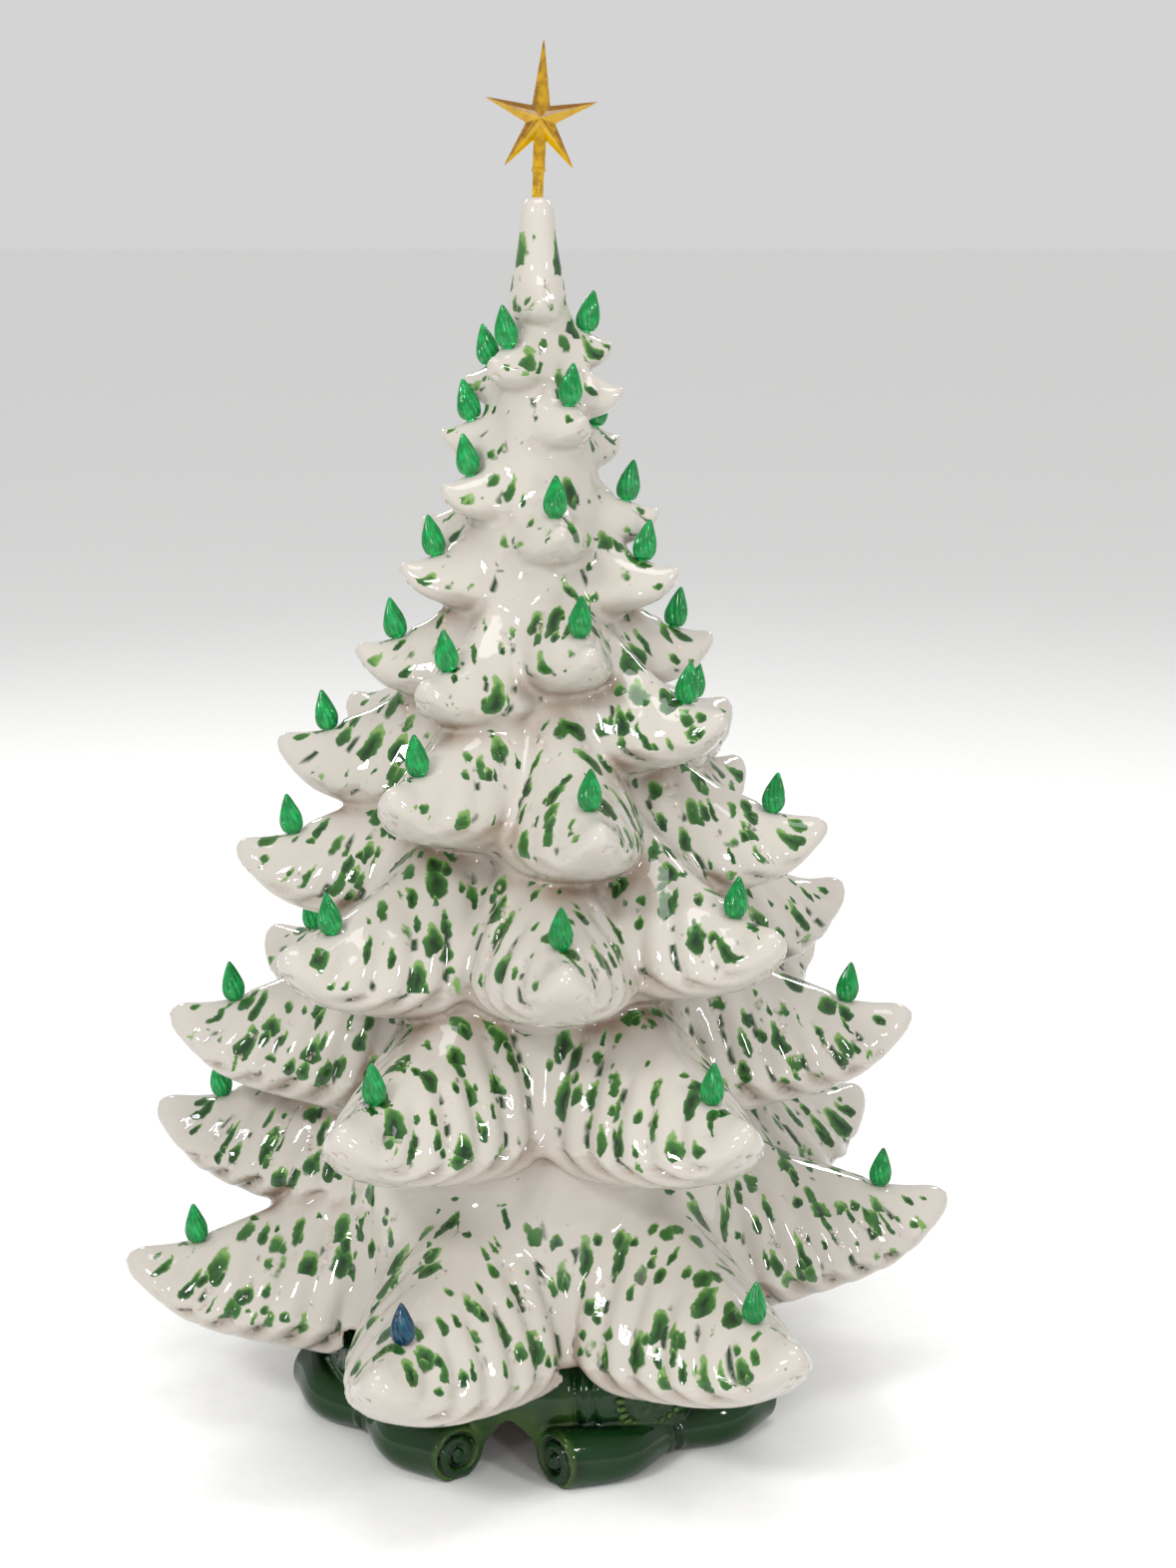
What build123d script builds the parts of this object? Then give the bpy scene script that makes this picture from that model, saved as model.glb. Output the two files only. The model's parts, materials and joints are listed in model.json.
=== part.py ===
from build123d import *
import os
from math import cos, radians, sin

# Ceramic christmas tree on a scroll footed base. Millimetres, +Z up, the front faces -Y.
# The origin is on the table, under the middle of the base.
# An azimuth is in degrees about the tree: 0 faces the front, and +90 faces +X.

# Base: a glazed bowl, upside down, that stands on four rolled scrolls
BASE_HEIGHT = 52.0
BASE_WALL = 6.0
BOWL_EDGE_Z = 19.0
BOWL_EDGE_RADIUS = 93.0
BOWL_BULGE_Z = 31.0
BOWL_BULGE_RADIUS = 97.0
BOWL_TOP_RADIUS = 85.0
SCROLL_COUNT = 4
SCROLL_GAP_AZIMUTH = -7.6
SCROLL_HALF_LENGTH = 55.0
SCROLL_END_RADIUS = 12.5
SCROLL_END_DISTANCE = 81.0
SCROLL_WAIST_RADIUS = 8.0
SCROLL_WAIST_DISTANCE = 86.0
FOOT_FLAT = 0.8
COLLAR_RADIUS = 9.8
COLLAR_WIDTH = 4.0
COLLAR_GAP = 2.0
MEDALLION_RADIUS = 33.0
MEDALLION_HEIGHT = 34.0
MEDALLION_RELIEF = 1.6
MEDALLION_STEP = 6.5
SPIGOT_HEIGHT = 6.0
SPIGOT_WALL = 5.0

# Tree: a hollow slip cast shell of a trunk and drooping branches
TREE_WALL = 4.5
TREE_MOUTH_RADIUS = 70.0
TREE_MOUTH_CLEARANCE = 1.5
SKIRT_CLEARANCE = 2.0
# Height above the tree's rim and radius of the trunk
TRUNK_PROFILE = [
    (0, 88), (20, 90), (118, 76), (188, 62), (248, 46), (288, 36), (348, 26), (398, 16.5),
    (412, 14.5), (429, 12.5), (441, 10.3), (456, 7.8), (466, 7.0), (470, 5.8), (472, 4.4),
]
# Height above the tree's rim and distance of a branch tip from the axis
REACH_PROFILE = [
    (0, 184), (38, 184), (68, 176), (122, 163), (189, 139), (212, 124), (245, 113),
    (288, 76), (320, 61), (352, 48), (389, 38), (412, 33), (434, 24),
]
# Azimuth and tip height above the rim of every branch, tier by tier from the bottom
BRANCH_TIERS = {
    "a": [(-79, 21), (-20, 24), (35, 25), (94, 32), (155, 26), (-138, 23)],
    "b": [(-97, 72), (122, 54), (-165, 64)],
    "c": [(-87, 124), (-28, 115), (31, 114), (88, 123), (127, 134), (-125, 134), (176, 122)],
    "d": [(-45, 175), (5, 178), (44, 182), (111, 166), (168, 176), (-140, 174)],
    "e": [(-82, 201), (80, 211), (131, 218), (-165, 212)],
    "f": [(-92, 243), (-31, 240), (13, 229), (53, 264), (130, 247), (-126, 251), (172, 248)],
    "g": [(-84, 285), (-34, 279), (18, 293), (101, 287), (150, 283), (-142, 290)],
    "h": [(-74, 321), (74, 319), (11, 340), (160, 326)],
    "i": [(-58, 355), (98, 342), (-110, 337), (-168, 352)],
    "j": [(-90, 376), (30, 384), (126, 372), (-135, 380)],
    "k": [(-119, 398), (-34, 407), (78, 394), (165, 400)],
    "l": [(107, 412), (4, 431), (-160, 424)],
}
# Branches that carry no light
BARE_BRANCHES = {"b3", "d4", "d6", "e3", "e4", "f6", "i3", "j4", "k3", "l2", "l3"}
# A branch's root: half width for its reach, and height to width at the bottom and the top
ROOT_WIDTH_PER_REACH = 0.25
ROOT_WIDTH_ADDED = 3.0
ROOT_FLATNESS_LOW = 0.74
ROOT_FLATNESS_HIGH = 1.0
# Along a branch: share of reach in from the tip, shares of the root's half width and height,
# and how far the middle hangs below the tip, as a share of the root's half height
BRANCH_STATIONS = [
    (0.80, 1.00, 1.00, 0.10),
    (0.55, 1.00, 1.00, 0.20),
    (0.33, 0.80, 0.74, 0.27),
    (0.15, 0.50, 0.47, 0.29),
    (0.035, 0.19, 0.19, 0.05),
]
HOLLOW_TIP_WALLS = 2.2
HOLLOW_LEAST_HALF = 2.0

# Lights: plastic drops, each with a peg that plugs into a hole near a branch's tip
LIGHT_HEIGHT = 17.0
LIGHT_RADIUS = 5.0
LIGHT_WIDEST_AT = 6.0
LIGHT_FOOT_RADIUS = 3.4
LIGHT_TIP_RADIUS = 0.5
PEG_RADIUS = 2.2
PEG_LENGTH = 8.0
PEG_CLEARANCE = 0.45
SEAT_CLEARANCE = 0.5
SEAT_DEPTH = 0.7
SEAT_GAP = 0.3
LIGHT_INSET_PER_REACH = 0.13
LIGHT_INSET_ADDED = 8.0
LIGHT_LEAN_LOW = 5.0
LIGHT_LEAN_HIGH = 14.0
LIGHT_TRAVEL = 9.0
HOLE_DEPTH = 16.0

# Star: moulded plastic, five points on a stem
STAR_CENTRE_ABOVE_TOP = 31.5
STAR_TOP_POINT = 34.0
STAR_SIDE_POINT = 26.0
STAR_NOTCH_RADIUS = 6.5
STAR_HALF_THICKNESS = 5.0
STAR_LEAN = 2.6
STEM_RADIUS = 2.9
STEM_PIN_RADIUS = 2.3
STEM_PIN_ABOVE_TOP = 10.0
STEM_PIN_DEPTH = 13.0
STEM_CLEARANCE = 0.4
STEM_SEAT_GAP = 0.3
STEM_LIGHT_WAY_RADIUS = 1.6

# Lamp, lamp holder and what holds it to the base
NIPPLE_RADIUS = 4.8
NIPPLE_BORE = 3.4
NIPPLE_CLEARANCE = 0.3
NIPPLE_BELOW_DECK = 11.0
NIPPLE_IN_HOLDER = 7.0
WASHER_RADIUS = 13.0
WASHER_THICKNESS = 1.5
NUT_ACROSS_FLATS = 15.0
NUT_THICKNESS = 4.5
HOLDER_RADIUS = 11.5
HOLDER_HEIGHT = 34.0
HOLDER_FLOOR = 9.0
HOLDER_WALL = 3.6
SHELL_THICKNESS = 0.8
SHELL_GAP = 0.2
CONTACT_STRIP_THICKNESS = 0.6
CONTACT_STRIP_LENGTH = 8.0
CONTACT_STRIP_WIDTH = 4.0
LAMP_FIT = 0.1
LAMP_SEAT_GAP = 0.3
LAMP_CONTACT_RADIUS = 2.4
LAMP_CONTACT_HEIGHT = 1.6
CAP_HEIGHT = 20.0
CAP_WALL = 0.5
CAP_FLOOR = 1.2
GLASS_WALL = 0.9
GLASS_GAP = 0.2
GLASS_IN_CAP = 9.0
GLASS_HEIGHT = 44.0
GLASS_RADIUS = 11.0
GLASS_WIDEST_AT = 15.0
GLASS_TIP_RADIUS = 1.8

# Cord inlet at the back of the base
GROMMET_BORE = 3.6
GROMMET_RADIUS = 5.4
GROMMET_FLANGE = 7.4
GROMMET_FLANGE_THICKNESS = 2.0
GROMMET_CLEARANCE = 0.2
INLET_BOSS_RADIUS = 9.5
INLET_BOSS_LENGTH = 14.0
INLET_BOSS_PROUD = 1.5

TOP_HEIGHT, TOP_RADIUS = TRUNK_PROFILE[-1]
SIDE_AZIMUTHS = [SCROLL_GAP_AZIMUTH + 360 / SCROLL_COUNT * (i + 0.5) for i in range(SCROLL_COUNT)]
INLET_FACE_DISTANCE = BOWL_BULGE_RADIUS + INLET_BOSS_PROUD
FRONT_TO_X = -90.0


def between(value, points):
    """Value on the straight lines through (place, value) points."""
    for (start, first), (end, last) in zip(points, points[1:]):
        if value <= end:
            return first + (last - first) * (value - start) / (end - start)
    return points[-1][1]


def along(azimuth):
    """Turn that brings +X to an azimuth."""
    return Rot(0, 0, azimuth + FRONT_TO_X)


def turned(points):
    """Solid turned about Z from an outline of (radius, height) points."""
    outline = Polyline(*points, close=True)
    return revolve(make_face(Plane.XZ * outline), Axis.Z)


def tube(outer, inner, bottom, height):
    """Upright tube on the axis."""
    ring = Circle(outer) - Circle(inner)
    return Pos(0, 0, bottom) * extrude(ring, height)


def rod(radius, bottom, height):
    """Upright cylinder on the axis."""
    return Pos(0, 0, bottom) * extrude(Circle(radius), height)


# Base
def bowl(added=0.0):
    """The base's bowl as a solid, grown outwards by an added thickness."""
    top = BASE_HEIGHT
    wall = ThreePointArc(
        (BOWL_EDGE_RADIUS + added, BOWL_EDGE_Z),
        (BOWL_BULGE_RADIUS + added, BOWL_BULGE_Z),
        (BOWL_TOP_RADIUS + added, top),
    )
    rest = Polyline(wall @ 1, (0, top), (0, BOWL_EDGE_Z), wall @ 0)
    return revolve(make_face(Plane.XZ * Curve([wall, rest])), Axis.Z)


def bowl_hollow():
    """Room inside the bowl, open below."""
    deck = BASE_HEIGHT - BASE_WALL
    wall = ThreePointArc(
        (BOWL_EDGE_RADIUS - BASE_WALL, BOWL_EDGE_Z),
        (BOWL_BULGE_RADIUS - BASE_WALL, BOWL_BULGE_Z),
        (BOWL_TOP_RADIUS - BASE_WALL, deck),
    )
    rest = Polyline(wall @ 1, (0, deck), (0, BOWL_EDGE_Z), wall @ 0)
    return revolve(make_face(Plane.XZ * Curve([wall, rest])), Axis.Z)


def scroll_section(offset, distance, radius):
    """Round section of a scroll, across its length, with its foot cut at the table."""
    plane = Plane(origin=(distance, offset, radius - FOOT_FLAT), x_dir=(1, 0, 0), z_dir=(0, 1, 0))
    return plane * Circle(radius)


def scroll():
    """One scroll lying across +X: two rolls that narrow to a waist with a double collar."""
    waist = scroll_section(0, SCROLL_WAIST_DISTANCE, SCROLL_WAIST_RADIUS)
    rolls = []
    for side in (-1, 1):
        end = scroll_section(side * SCROLL_HALF_LENGTH, SCROLL_END_DISTANCE, SCROLL_END_RADIUS)
        rolls.append(loft([end, waist] if side < 0 else [waist, end]))
    collars = []
    for side in (-1, 1):
        start = side * (COLLAR_GAP + COLLAR_WIDTH) / 2 - COLLAR_WIDTH / 2
        ring = scroll_section(start, SCROLL_WAIST_DISTANCE, COLLAR_RADIUS)
        collars.append(extrude(ring, COLLAR_WIDTH, dir=(0, 1, 0)))
    return rolls[0].fuse(rolls[1], *collars)


def medallion():
    """Round relief on the bowl above one scroll, in two low steps."""
    axis = Plane(origin=(0, 0, MEDALLION_HEIGHT), x_dir=(0, 1, 0), z_dir=(1, 0, 0))
    disc = extrude(axis * Circle(MEDALLION_RADIUS), BOWL_BULGE_RADIUS * 2)
    inner = extrude(axis * Circle(MEDALLION_RADIUS - MEDALLION_STEP), BOWL_BULGE_RADIUS * 2)
    return (bowl(MEDALLION_RELIEF) & disc) + (bowl(2 * MEDALLION_RELIEF) & inner)


def inlet_tube(radius, start, length):
    """Cylinder on the cord inlet's line, from a distance outwards."""
    line = Plane(origin=(start, 0, BOWL_BULGE_Z), x_dir=(0, 1, 0), z_dir=(1, 0, 0))
    return along(SCROLL_GAP_AZIMUTH + 180) * extrude(line * Circle(radius), length)


def base_shell():
    """Glazed ceramic base in one piece, with a deck hole for the lamp holder."""
    reliefs = [along(azimuth) * medallion() for azimuth in SIDE_AZIMUTHS]
    scrolls = [along(azimuth) * scroll() for azimuth in SIDE_AZIMUTHS]
    ceramic = bowl().fuse(*reliefs, *scrolls).cut(bowl_hollow())
    spigot_radius = TREE_MOUTH_RADIUS - TREE_MOUTH_CLEARANCE
    spigot = tube(spigot_radius, spigot_radius - SPIGOT_WALL, BASE_HEIGHT, SPIGOT_HEIGHT)
    boss_start = INLET_FACE_DISTANCE - INLET_BOSS_LENGTH
    ceramic = ceramic.fuse(spigot, inlet_tube(INLET_BOSS_RADIUS, boss_start, INLET_BOSS_LENGTH))
    deck_hole = rod(NIPPLE_RADIUS + NIPPLE_CLEARANCE, BASE_HEIGHT - BASE_WALL, BASE_WALL)
    inlet = inlet_tube(GROMMET_RADIUS + GROMMET_CLEARANCE, boss_start, INLET_BOSS_LENGTH)
    below = Pos(0, 0, -SCROLL_END_RADIUS) * Box(
        4 * BOWL_BULGE_RADIUS, 4 * BOWL_BULGE_RADIUS, 2 * SCROLL_END_RADIUS
    )
    return ceramic.cut(deck_hole, inlet, below)


def cord_grommet():
    """Rubber bush that lines the cord inlet, with a flange on each side of the wall."""
    inside = INLET_FACE_DISTANCE - INLET_BOSS_LENGTH
    whole = INLET_BOSS_LENGTH + 2 * GROMMET_FLANGE_THICKNESS
    first = inside - GROMMET_FLANGE_THICKNESS
    bush = inlet_tube(GROMMET_RADIUS, first, whole)
    flanges = [
        inlet_tube(GROMMET_FLANGE, place, GROMMET_FLANGE_THICKNESS)
        for place in (first, INLET_FACE_DISTANCE)
    ]
    return bush.fuse(*flanges).cut(inlet_tube(GROMMET_BORE, first, whole))


# Tree
class Branch:
    """One branch: where its tip is and how large its root is."""

    def __init__(self, name, azimuth, height):
        self.name = name
        self.azimuth = azimuth
        self.tip_z = BASE_HEIGHT + height
        self.reach = between(height, REACH_PROFILE)
        rise = height / TOP_HEIGHT
        flatness = ROOT_FLATNESS_LOW + (ROOT_FLATNESS_HIGH - ROOT_FLATNESS_LOW) * rise
        self.half_width = ROOT_WIDTH_PER_REACH * self.reach + ROOT_WIDTH_ADDED
        self.half_height = flatness * self.half_width
        self.lean = LIGHT_LEAN_LOW + (LIGHT_LEAN_HIGH - LIGHT_LEAN_LOW) * rise

    def lobe(self, wall=0.0):
        """The branch along +X, drawn in by a wall for the hollow inside it."""
        sections = []
        for share, width, height, drop in BRANCH_STATIONS:
            half_width = width * self.half_width - wall
            half_height = height * self.half_height - wall
            if min(half_width, half_height) < HOLLOW_LEAST_HALF:
                continue
            middle = (self.reach * (1 - share), 0, self.tip_z - drop * self.half_height)
            plane = Plane(origin=middle, x_dir=(0, 1, 0), z_dir=(1, 0, 0))
            sections.append(plane * Ellipse(half_width, half_height))
        end = self.reach - HOLLOW_TIP_WALLS * wall
        end = max(end, sections[-1].center().X + HOLLOW_LEAST_HALF)
        return loft(sections + [Vertex(end, 0, self.tip_z)])

    def light_place(self):
        """Where the light's seat is: on top of the branch, leaning outwards."""
        x = self.reach - LIGHT_INSET_PER_REACH * self.reach - LIGHT_INSET_ADDED
        hits = self.lobe().find_intersection_points(Axis((x, 0, 0), (0, 0, 1)))
        top = max(point.Z for point, normal in hits)
        return along(self.azimuth) * Pos(x, 0, top) * Rot(0, self.lean, 0) * Pos(0, 0, -SEAT_DEPTH)


def trunk(wall=0.0):
    """The trunk as a solid, drawn in by a wall for the hollow inside it."""
    points = [(r - wall, BASE_HEIGHT + h) for h, r in TRUNK_PROFILE if r - wall > HOLLOW_LEAST_HALF]
    return turned([(0, BASE_HEIGHT)] + points + [(0, points[-1][1])])


def skirt_room(wall=0.0):
    """Room under the rim that keeps the lowest branches clear of the base."""
    radius = BOWL_BULGE_RADIUS + 2 * MEDALLION_RELIEF + SKIRT_CLEARANCE + wall
    return rod(radius, -BASE_HEIGHT, 2 * BASE_HEIGHT + wall)


def star_place():
    """Frame of the star: on the tree's top, with a slight lean."""
    return Pos(0, 0, BASE_HEIGHT + TOP_HEIGHT) * Rot(0, STAR_LEAN, 0)


def tree_shell(branches, light_places):
    """Glazed ceramic tree in one hollow piece, open below."""
    outside = trunk().fuse(*[along(b.azimuth) * b.lobe() for b in branches]).cut(skirt_room())
    inside = trunk(TREE_WALL).fuse(*[along(b.azimuth) * b.lobe(TREE_WALL) for b in branches])
    inside = inside.cut(skirt_room(TREE_WALL))
    mouth = rod(TREE_MOUTH_RADIUS, BASE_HEIGHT, 2 * TREE_WALL)
    cuts = [
        star_place() * rod(STEM_PIN_RADIUS + STEM_CLEARANCE, -STEM_PIN_DEPTH, 2 * STEM_PIN_DEPTH),
        star_place() * rod(STEM_LIGHT_WAY_RADIUS, -3 * STEM_PIN_DEPTH, 3 * STEM_PIN_DEPTH),
    ]
    cuts += [place * light_hole() for place in light_places]
    return outside.cut(inside, mouth, *cuts)


def light_hole():
    """Hole for a light's peg, with a flat seat and the light's way out above it."""
    hole = PEG_RADIUS + PEG_CLEARANCE
    way = LIGHT_RADIUS + SEAT_CLEARANCE
    top = LIGHT_HEIGHT + LIGHT_TRAVEL
    return turned([(0, -HOLE_DEPTH), (hole, -HOLE_DEPTH), (hole, 0), (way, 0), (way, top), (0, top)])


def light(place):
    """One plug-in light: a drop with a flat foot, on its peg."""
    side = Spline(
        (LIGHT_FOOT_RADIUS, 0), (LIGHT_RADIUS, LIGHT_WIDEST_AT), (LIGHT_TIP_RADIUS, LIGHT_HEIGHT)
    )
    rest = Polyline(
        side @ 1, (0, LIGHT_HEIGHT), (0, -PEG_LENGTH), (PEG_RADIUS, -PEG_LENGTH), (PEG_RADIUS, 0), side @ 0
    )
    drop = revolve(make_face(Plane.XZ * Curve([side, rest])), Axis.Z)
    return place * Pos(0, 0, SEAT_GAP) * drop


def star_topper():
    """Five pointed star with a ridge along each point, and its stepped stem."""
    front = Vector(0, -STAR_HALF_THICKNESS, 0)
    back = Vector(0, STAR_HALF_THICKNESS, 0)
    points = 5
    rim = []
    for i in range(points):
        length = STAR_TOP_POINT if i == 0 else STAR_SIDE_POINT
        tip = radians(90 - 360 / points * i)
        notch = radians(90 - 360 / points * (i + 0.5))
        rim.append(Vector(length * cos(tip), 0, length * sin(tip)))
        rim.append(Vector(STAR_NOTCH_RADIUS * cos(notch), 0, STAR_NOTCH_RADIUS * sin(notch)))
    faces = []
    for first, second in zip(rim, rim[1:] + rim[:1]):
        for ridge in (front, back):
            faces.append(Face(Wire.make_polygon([ridge, first, second])))
    star = Pos(0, 0, STAR_CENTRE_ABOVE_TOP) * Solid(Shell(faces))
    stem = rod(STEM_RADIUS, STEM_PIN_ABOVE_TOP, STAR_CENTRE_ABOVE_TOP - STEM_PIN_ABOVE_TOP)
    pin_bottom = STEM_SEAT_GAP - STEM_PIN_DEPTH
    pin = rod(STEM_PIN_RADIUS, pin_bottom, STEM_PIN_ABOVE_TOP - pin_bottom)
    return star_place() * star.fuse(stem, pin)


# Lamp and lamp holder, upwards from the base's deck
SHELL_OUTER = HOLDER_RADIUS - HOLDER_WALL - SHELL_GAP
CAP_RADIUS = SHELL_OUTER - SHELL_THICKNESS - LAMP_FIT
HOLDER_FLOOR_Z = BASE_HEIGHT + HOLDER_FLOOR
CONTACT_TOP_Z = HOLDER_FLOOR_Z + CONTACT_STRIP_THICKNESS
CAP_BOTTOM_Z = CONTACT_TOP_Z + LAMP_SEAT_GAP + LAMP_CONTACT_HEIGHT
CAP_TOP_Z = CAP_BOTTOM_Z + CAP_HEIGHT
DECK_UNDERSIDE_Z = BASE_HEIGHT - BASE_WALL
WASHER_Z = DECK_UNDERSIDE_Z - WASHER_THICKNESS
NUT_Z = WASHER_Z - NUT_THICKNESS


def lamp_nipple():
    """Threaded tube that carries the lamp holder through the deck."""
    bottom = DECK_UNDERSIDE_Z - NIPPLE_BELOW_DECK
    return tube(NIPPLE_RADIUS, NIPPLE_BORE, bottom, BASE_HEIGHT + NIPPLE_IN_HOLDER - bottom)


def nipple_washer():
    """Flat washer under the deck."""
    return tube(WASHER_RADIUS, NIPPLE_RADIUS + NIPPLE_CLEARANCE, WASHER_Z, WASHER_THICKNESS)


def nipple_nut():
    """Hexagon nut on the nipple, under the washer."""
    hexagon = RegularPolygon(NUT_ACROSS_FLATS / 2, 6, major_radius=False)
    ring = hexagon - Circle(NIPPLE_RADIUS + NIPPLE_CLEARANCE)
    return Pos(0, 0, NUT_Z) * extrude(ring, NUT_THICKNESS)


def lamp_holder():
    """Moulded lamp holder: a cup whose thick floor sits on the nipple."""
    cup = rod(HOLDER_RADIUS, BASE_HEIGHT, HOLDER_HEIGHT)
    room = rod(HOLDER_RADIUS - HOLDER_WALL, HOLDER_FLOOR_Z, HOLDER_HEIGHT)
    nipple_hole = rod(NIPPLE_RADIUS + NIPPLE_CLEARANCE, BASE_HEIGHT, NIPPLE_IN_HOLDER)
    return cup.cut(room, nipple_hole)


def holder_shell():
    """Brass screw shell that lines the holder."""
    height = HOLDER_HEIGHT - HOLDER_FLOOR
    return tube(SHELL_OUTER, SHELL_OUTER - SHELL_THICKNESS, HOLDER_FLOOR_Z, height)


def holder_contact():
    """Brass strip on the holder's floor that meets the lamp."""
    strip = Rectangle(CONTACT_STRIP_LENGTH, CONTACT_STRIP_WIDTH)
    return Pos(0, 0, HOLDER_FLOOR_Z) * extrude(strip, CONTACT_STRIP_THICKNESS)


def lamp_contact():
    """Solder contact under the lamp's cap."""
    return rod(LAMP_CONTACT_RADIUS, CAP_BOTTOM_Z - LAMP_CONTACT_HEIGHT, LAMP_CONTACT_HEIGHT)


def lamp_cap():
    """Brass screw cap of the lamp, a thin cup."""
    cup = rod(CAP_RADIUS, CAP_BOTTOM_Z, CAP_HEIGHT)
    return cup.cut(rod(CAP_RADIUS - CAP_WALL, CAP_BOTTOM_Z + CAP_FLOOR, CAP_HEIGHT))


def lamp_glass():
    """Candle shaped glass bulb with its neck in the cap."""
    neck = CAP_RADIUS - CAP_WALL - GLASS_GAP

    def bulb(wall):
        low = CAP_TOP_Z - GLASS_IN_CAP + wall
        top = CAP_TOP_Z + GLASS_HEIGHT - wall
        side = Spline(
            (neck - wall, CAP_TOP_Z),
            (GLASS_RADIUS - wall, CAP_TOP_Z + GLASS_WIDEST_AT),
            (GLASS_TIP_RADIUS - wall, top),
            tangents=[(0, 1), (-1, 1)],
        )
        rest = Polyline(side @ 1, (0, top), (0, low), (neck - wall, low), side @ 0)
        return revolve(make_face(Plane.XZ * Curve([side, rest])), Axis.Z)

    return bulb(0).cut(bulb(GLASS_WALL))


branches = [
    Branch(f"{tier}{number}", azimuth, height)
    for tier, row in BRANCH_TIERS.items()
    for number, (azimuth, height) in enumerate(row, 1)
]
light_places = {b.name: b.light_place() for b in branches if b.name not in BARE_BRANCHES}

nodes = {
    "tree_shell": tree_shell(branches, light_places.values()),
    "base_shell": base_shell(),
    "star_topper": star_topper(),
    "cord_grommet": cord_grommet(),
    "lamp_nipple": lamp_nipple(),
    "nipple_washer": nipple_washer(),
    "nipple_nut": nipple_nut(),
    "lamp_holder": lamp_holder(),
    "holder_shell": holder_shell(),
    "holder_contact": holder_contact(),
    "lamp_contact": lamp_contact(),
    "lamp_cap": lamp_cap(),
    "lamp_glass": lamp_glass(),
}
for name, place in light_places.items():
    nodes[f"light_{name}"] = light(place)

os.makedirs("parts", exist_ok=True)
for name, solid in nodes.items():
    export_step(solid, f"parts/{name}.step")
print(f"{len(nodes)} pieces written")
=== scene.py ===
"""Ceramic christmas tree: looks of its glazed tree, scroll footed base, star, plug-in lights, lamp."""
import json
import logging
import math
from dataclasses import dataclass, field
from enum import Enum

import bmesh
import bpy
import numpy as np
from mathutils import Matrix, Vector


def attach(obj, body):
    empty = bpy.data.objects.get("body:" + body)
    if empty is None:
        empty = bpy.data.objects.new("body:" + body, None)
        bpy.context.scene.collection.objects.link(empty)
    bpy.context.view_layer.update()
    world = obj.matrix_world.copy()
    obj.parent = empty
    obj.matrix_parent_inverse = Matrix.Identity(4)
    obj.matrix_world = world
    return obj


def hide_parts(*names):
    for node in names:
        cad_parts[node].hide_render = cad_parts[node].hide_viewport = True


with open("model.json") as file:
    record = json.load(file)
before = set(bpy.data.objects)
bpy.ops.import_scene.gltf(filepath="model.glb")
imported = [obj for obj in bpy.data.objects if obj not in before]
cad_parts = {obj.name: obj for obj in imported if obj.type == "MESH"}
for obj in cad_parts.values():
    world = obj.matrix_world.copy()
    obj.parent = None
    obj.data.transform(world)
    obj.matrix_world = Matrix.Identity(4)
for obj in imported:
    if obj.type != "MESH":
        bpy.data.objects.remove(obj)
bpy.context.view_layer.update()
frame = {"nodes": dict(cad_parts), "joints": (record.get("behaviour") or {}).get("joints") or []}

LOG = logging.getLogger("ceramic_tree")
FAR = 0.05
TINY = 1e-6
ROD_FACES = 24
TRIANGLE_LIMIT = 186000
INNER_CUT = 0.93
Setting = object
Colour = tuple[float, float, float, float]


def tint(red: float, green: float, blue: float) -> Colour:
    """Linear colour of a screen colour whose channels run from 0 to 255."""
    shares = [channel / 255 for channel in (red, green, blue)]
    return tuple(s / 12.92 if s <= 0.04 else ((s + 0.055) / 1.055) ** 2.4 for s in shares) + (1.0,)


def smoothstep(low: float, high: float, value: np.ndarray) -> np.ndarray:
    """Eased step from 0 at low to 1 at high."""
    share = np.clip((value - low) / (high - low), 0, 1)
    return share * share * (3 - 2 * share)


def blend_min(first: np.ndarray, second: np.ndarray, width: float) -> np.ndarray:
    """Union of two distances with a fillet of about the given width."""
    near = np.maximum(width - np.abs(first - second), 0) / width
    return np.minimum(first, second) - near * near * width / 4


def blend_max(first: np.ndarray, second: np.ndarray, width: float) -> np.ndarray:
    """Intersection of two distances with a rounded edge."""
    return -blend_min(-first, -second, width)


def unit(rows: np.ndarray) -> np.ndarray:
    """Rows scaled to a length of 1."""
    return rows / np.maximum(np.linalg.norm(rows, axis=1), TINY)[:, None]


def facing(azimuth: float) -> tuple[float, float]:
    """Plan direction (x, y) of an azimuth in degrees: 0 faces the front, 90 faces +X."""
    return math.sin(math.radians(azimuth)), -math.cos(math.radians(azimuth))


def towards(azimuth: float, x: np.ndarray, y: np.ndarray) -> tuple[np.ndarray, np.ndarray]:
    """Distance outwards and sidewards from the axis, facing an azimuth."""
    east, north = facing(azimuth)
    return x * east + y * north, y * east - x * north


def hump(value: np.ndarray, middle: float, width: float) -> np.ndarray:
    """Soft hump that is 1 at the middle and fades over about the given width."""
    return np.exp(-(((value - middle) / width) ** 2))


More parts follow.
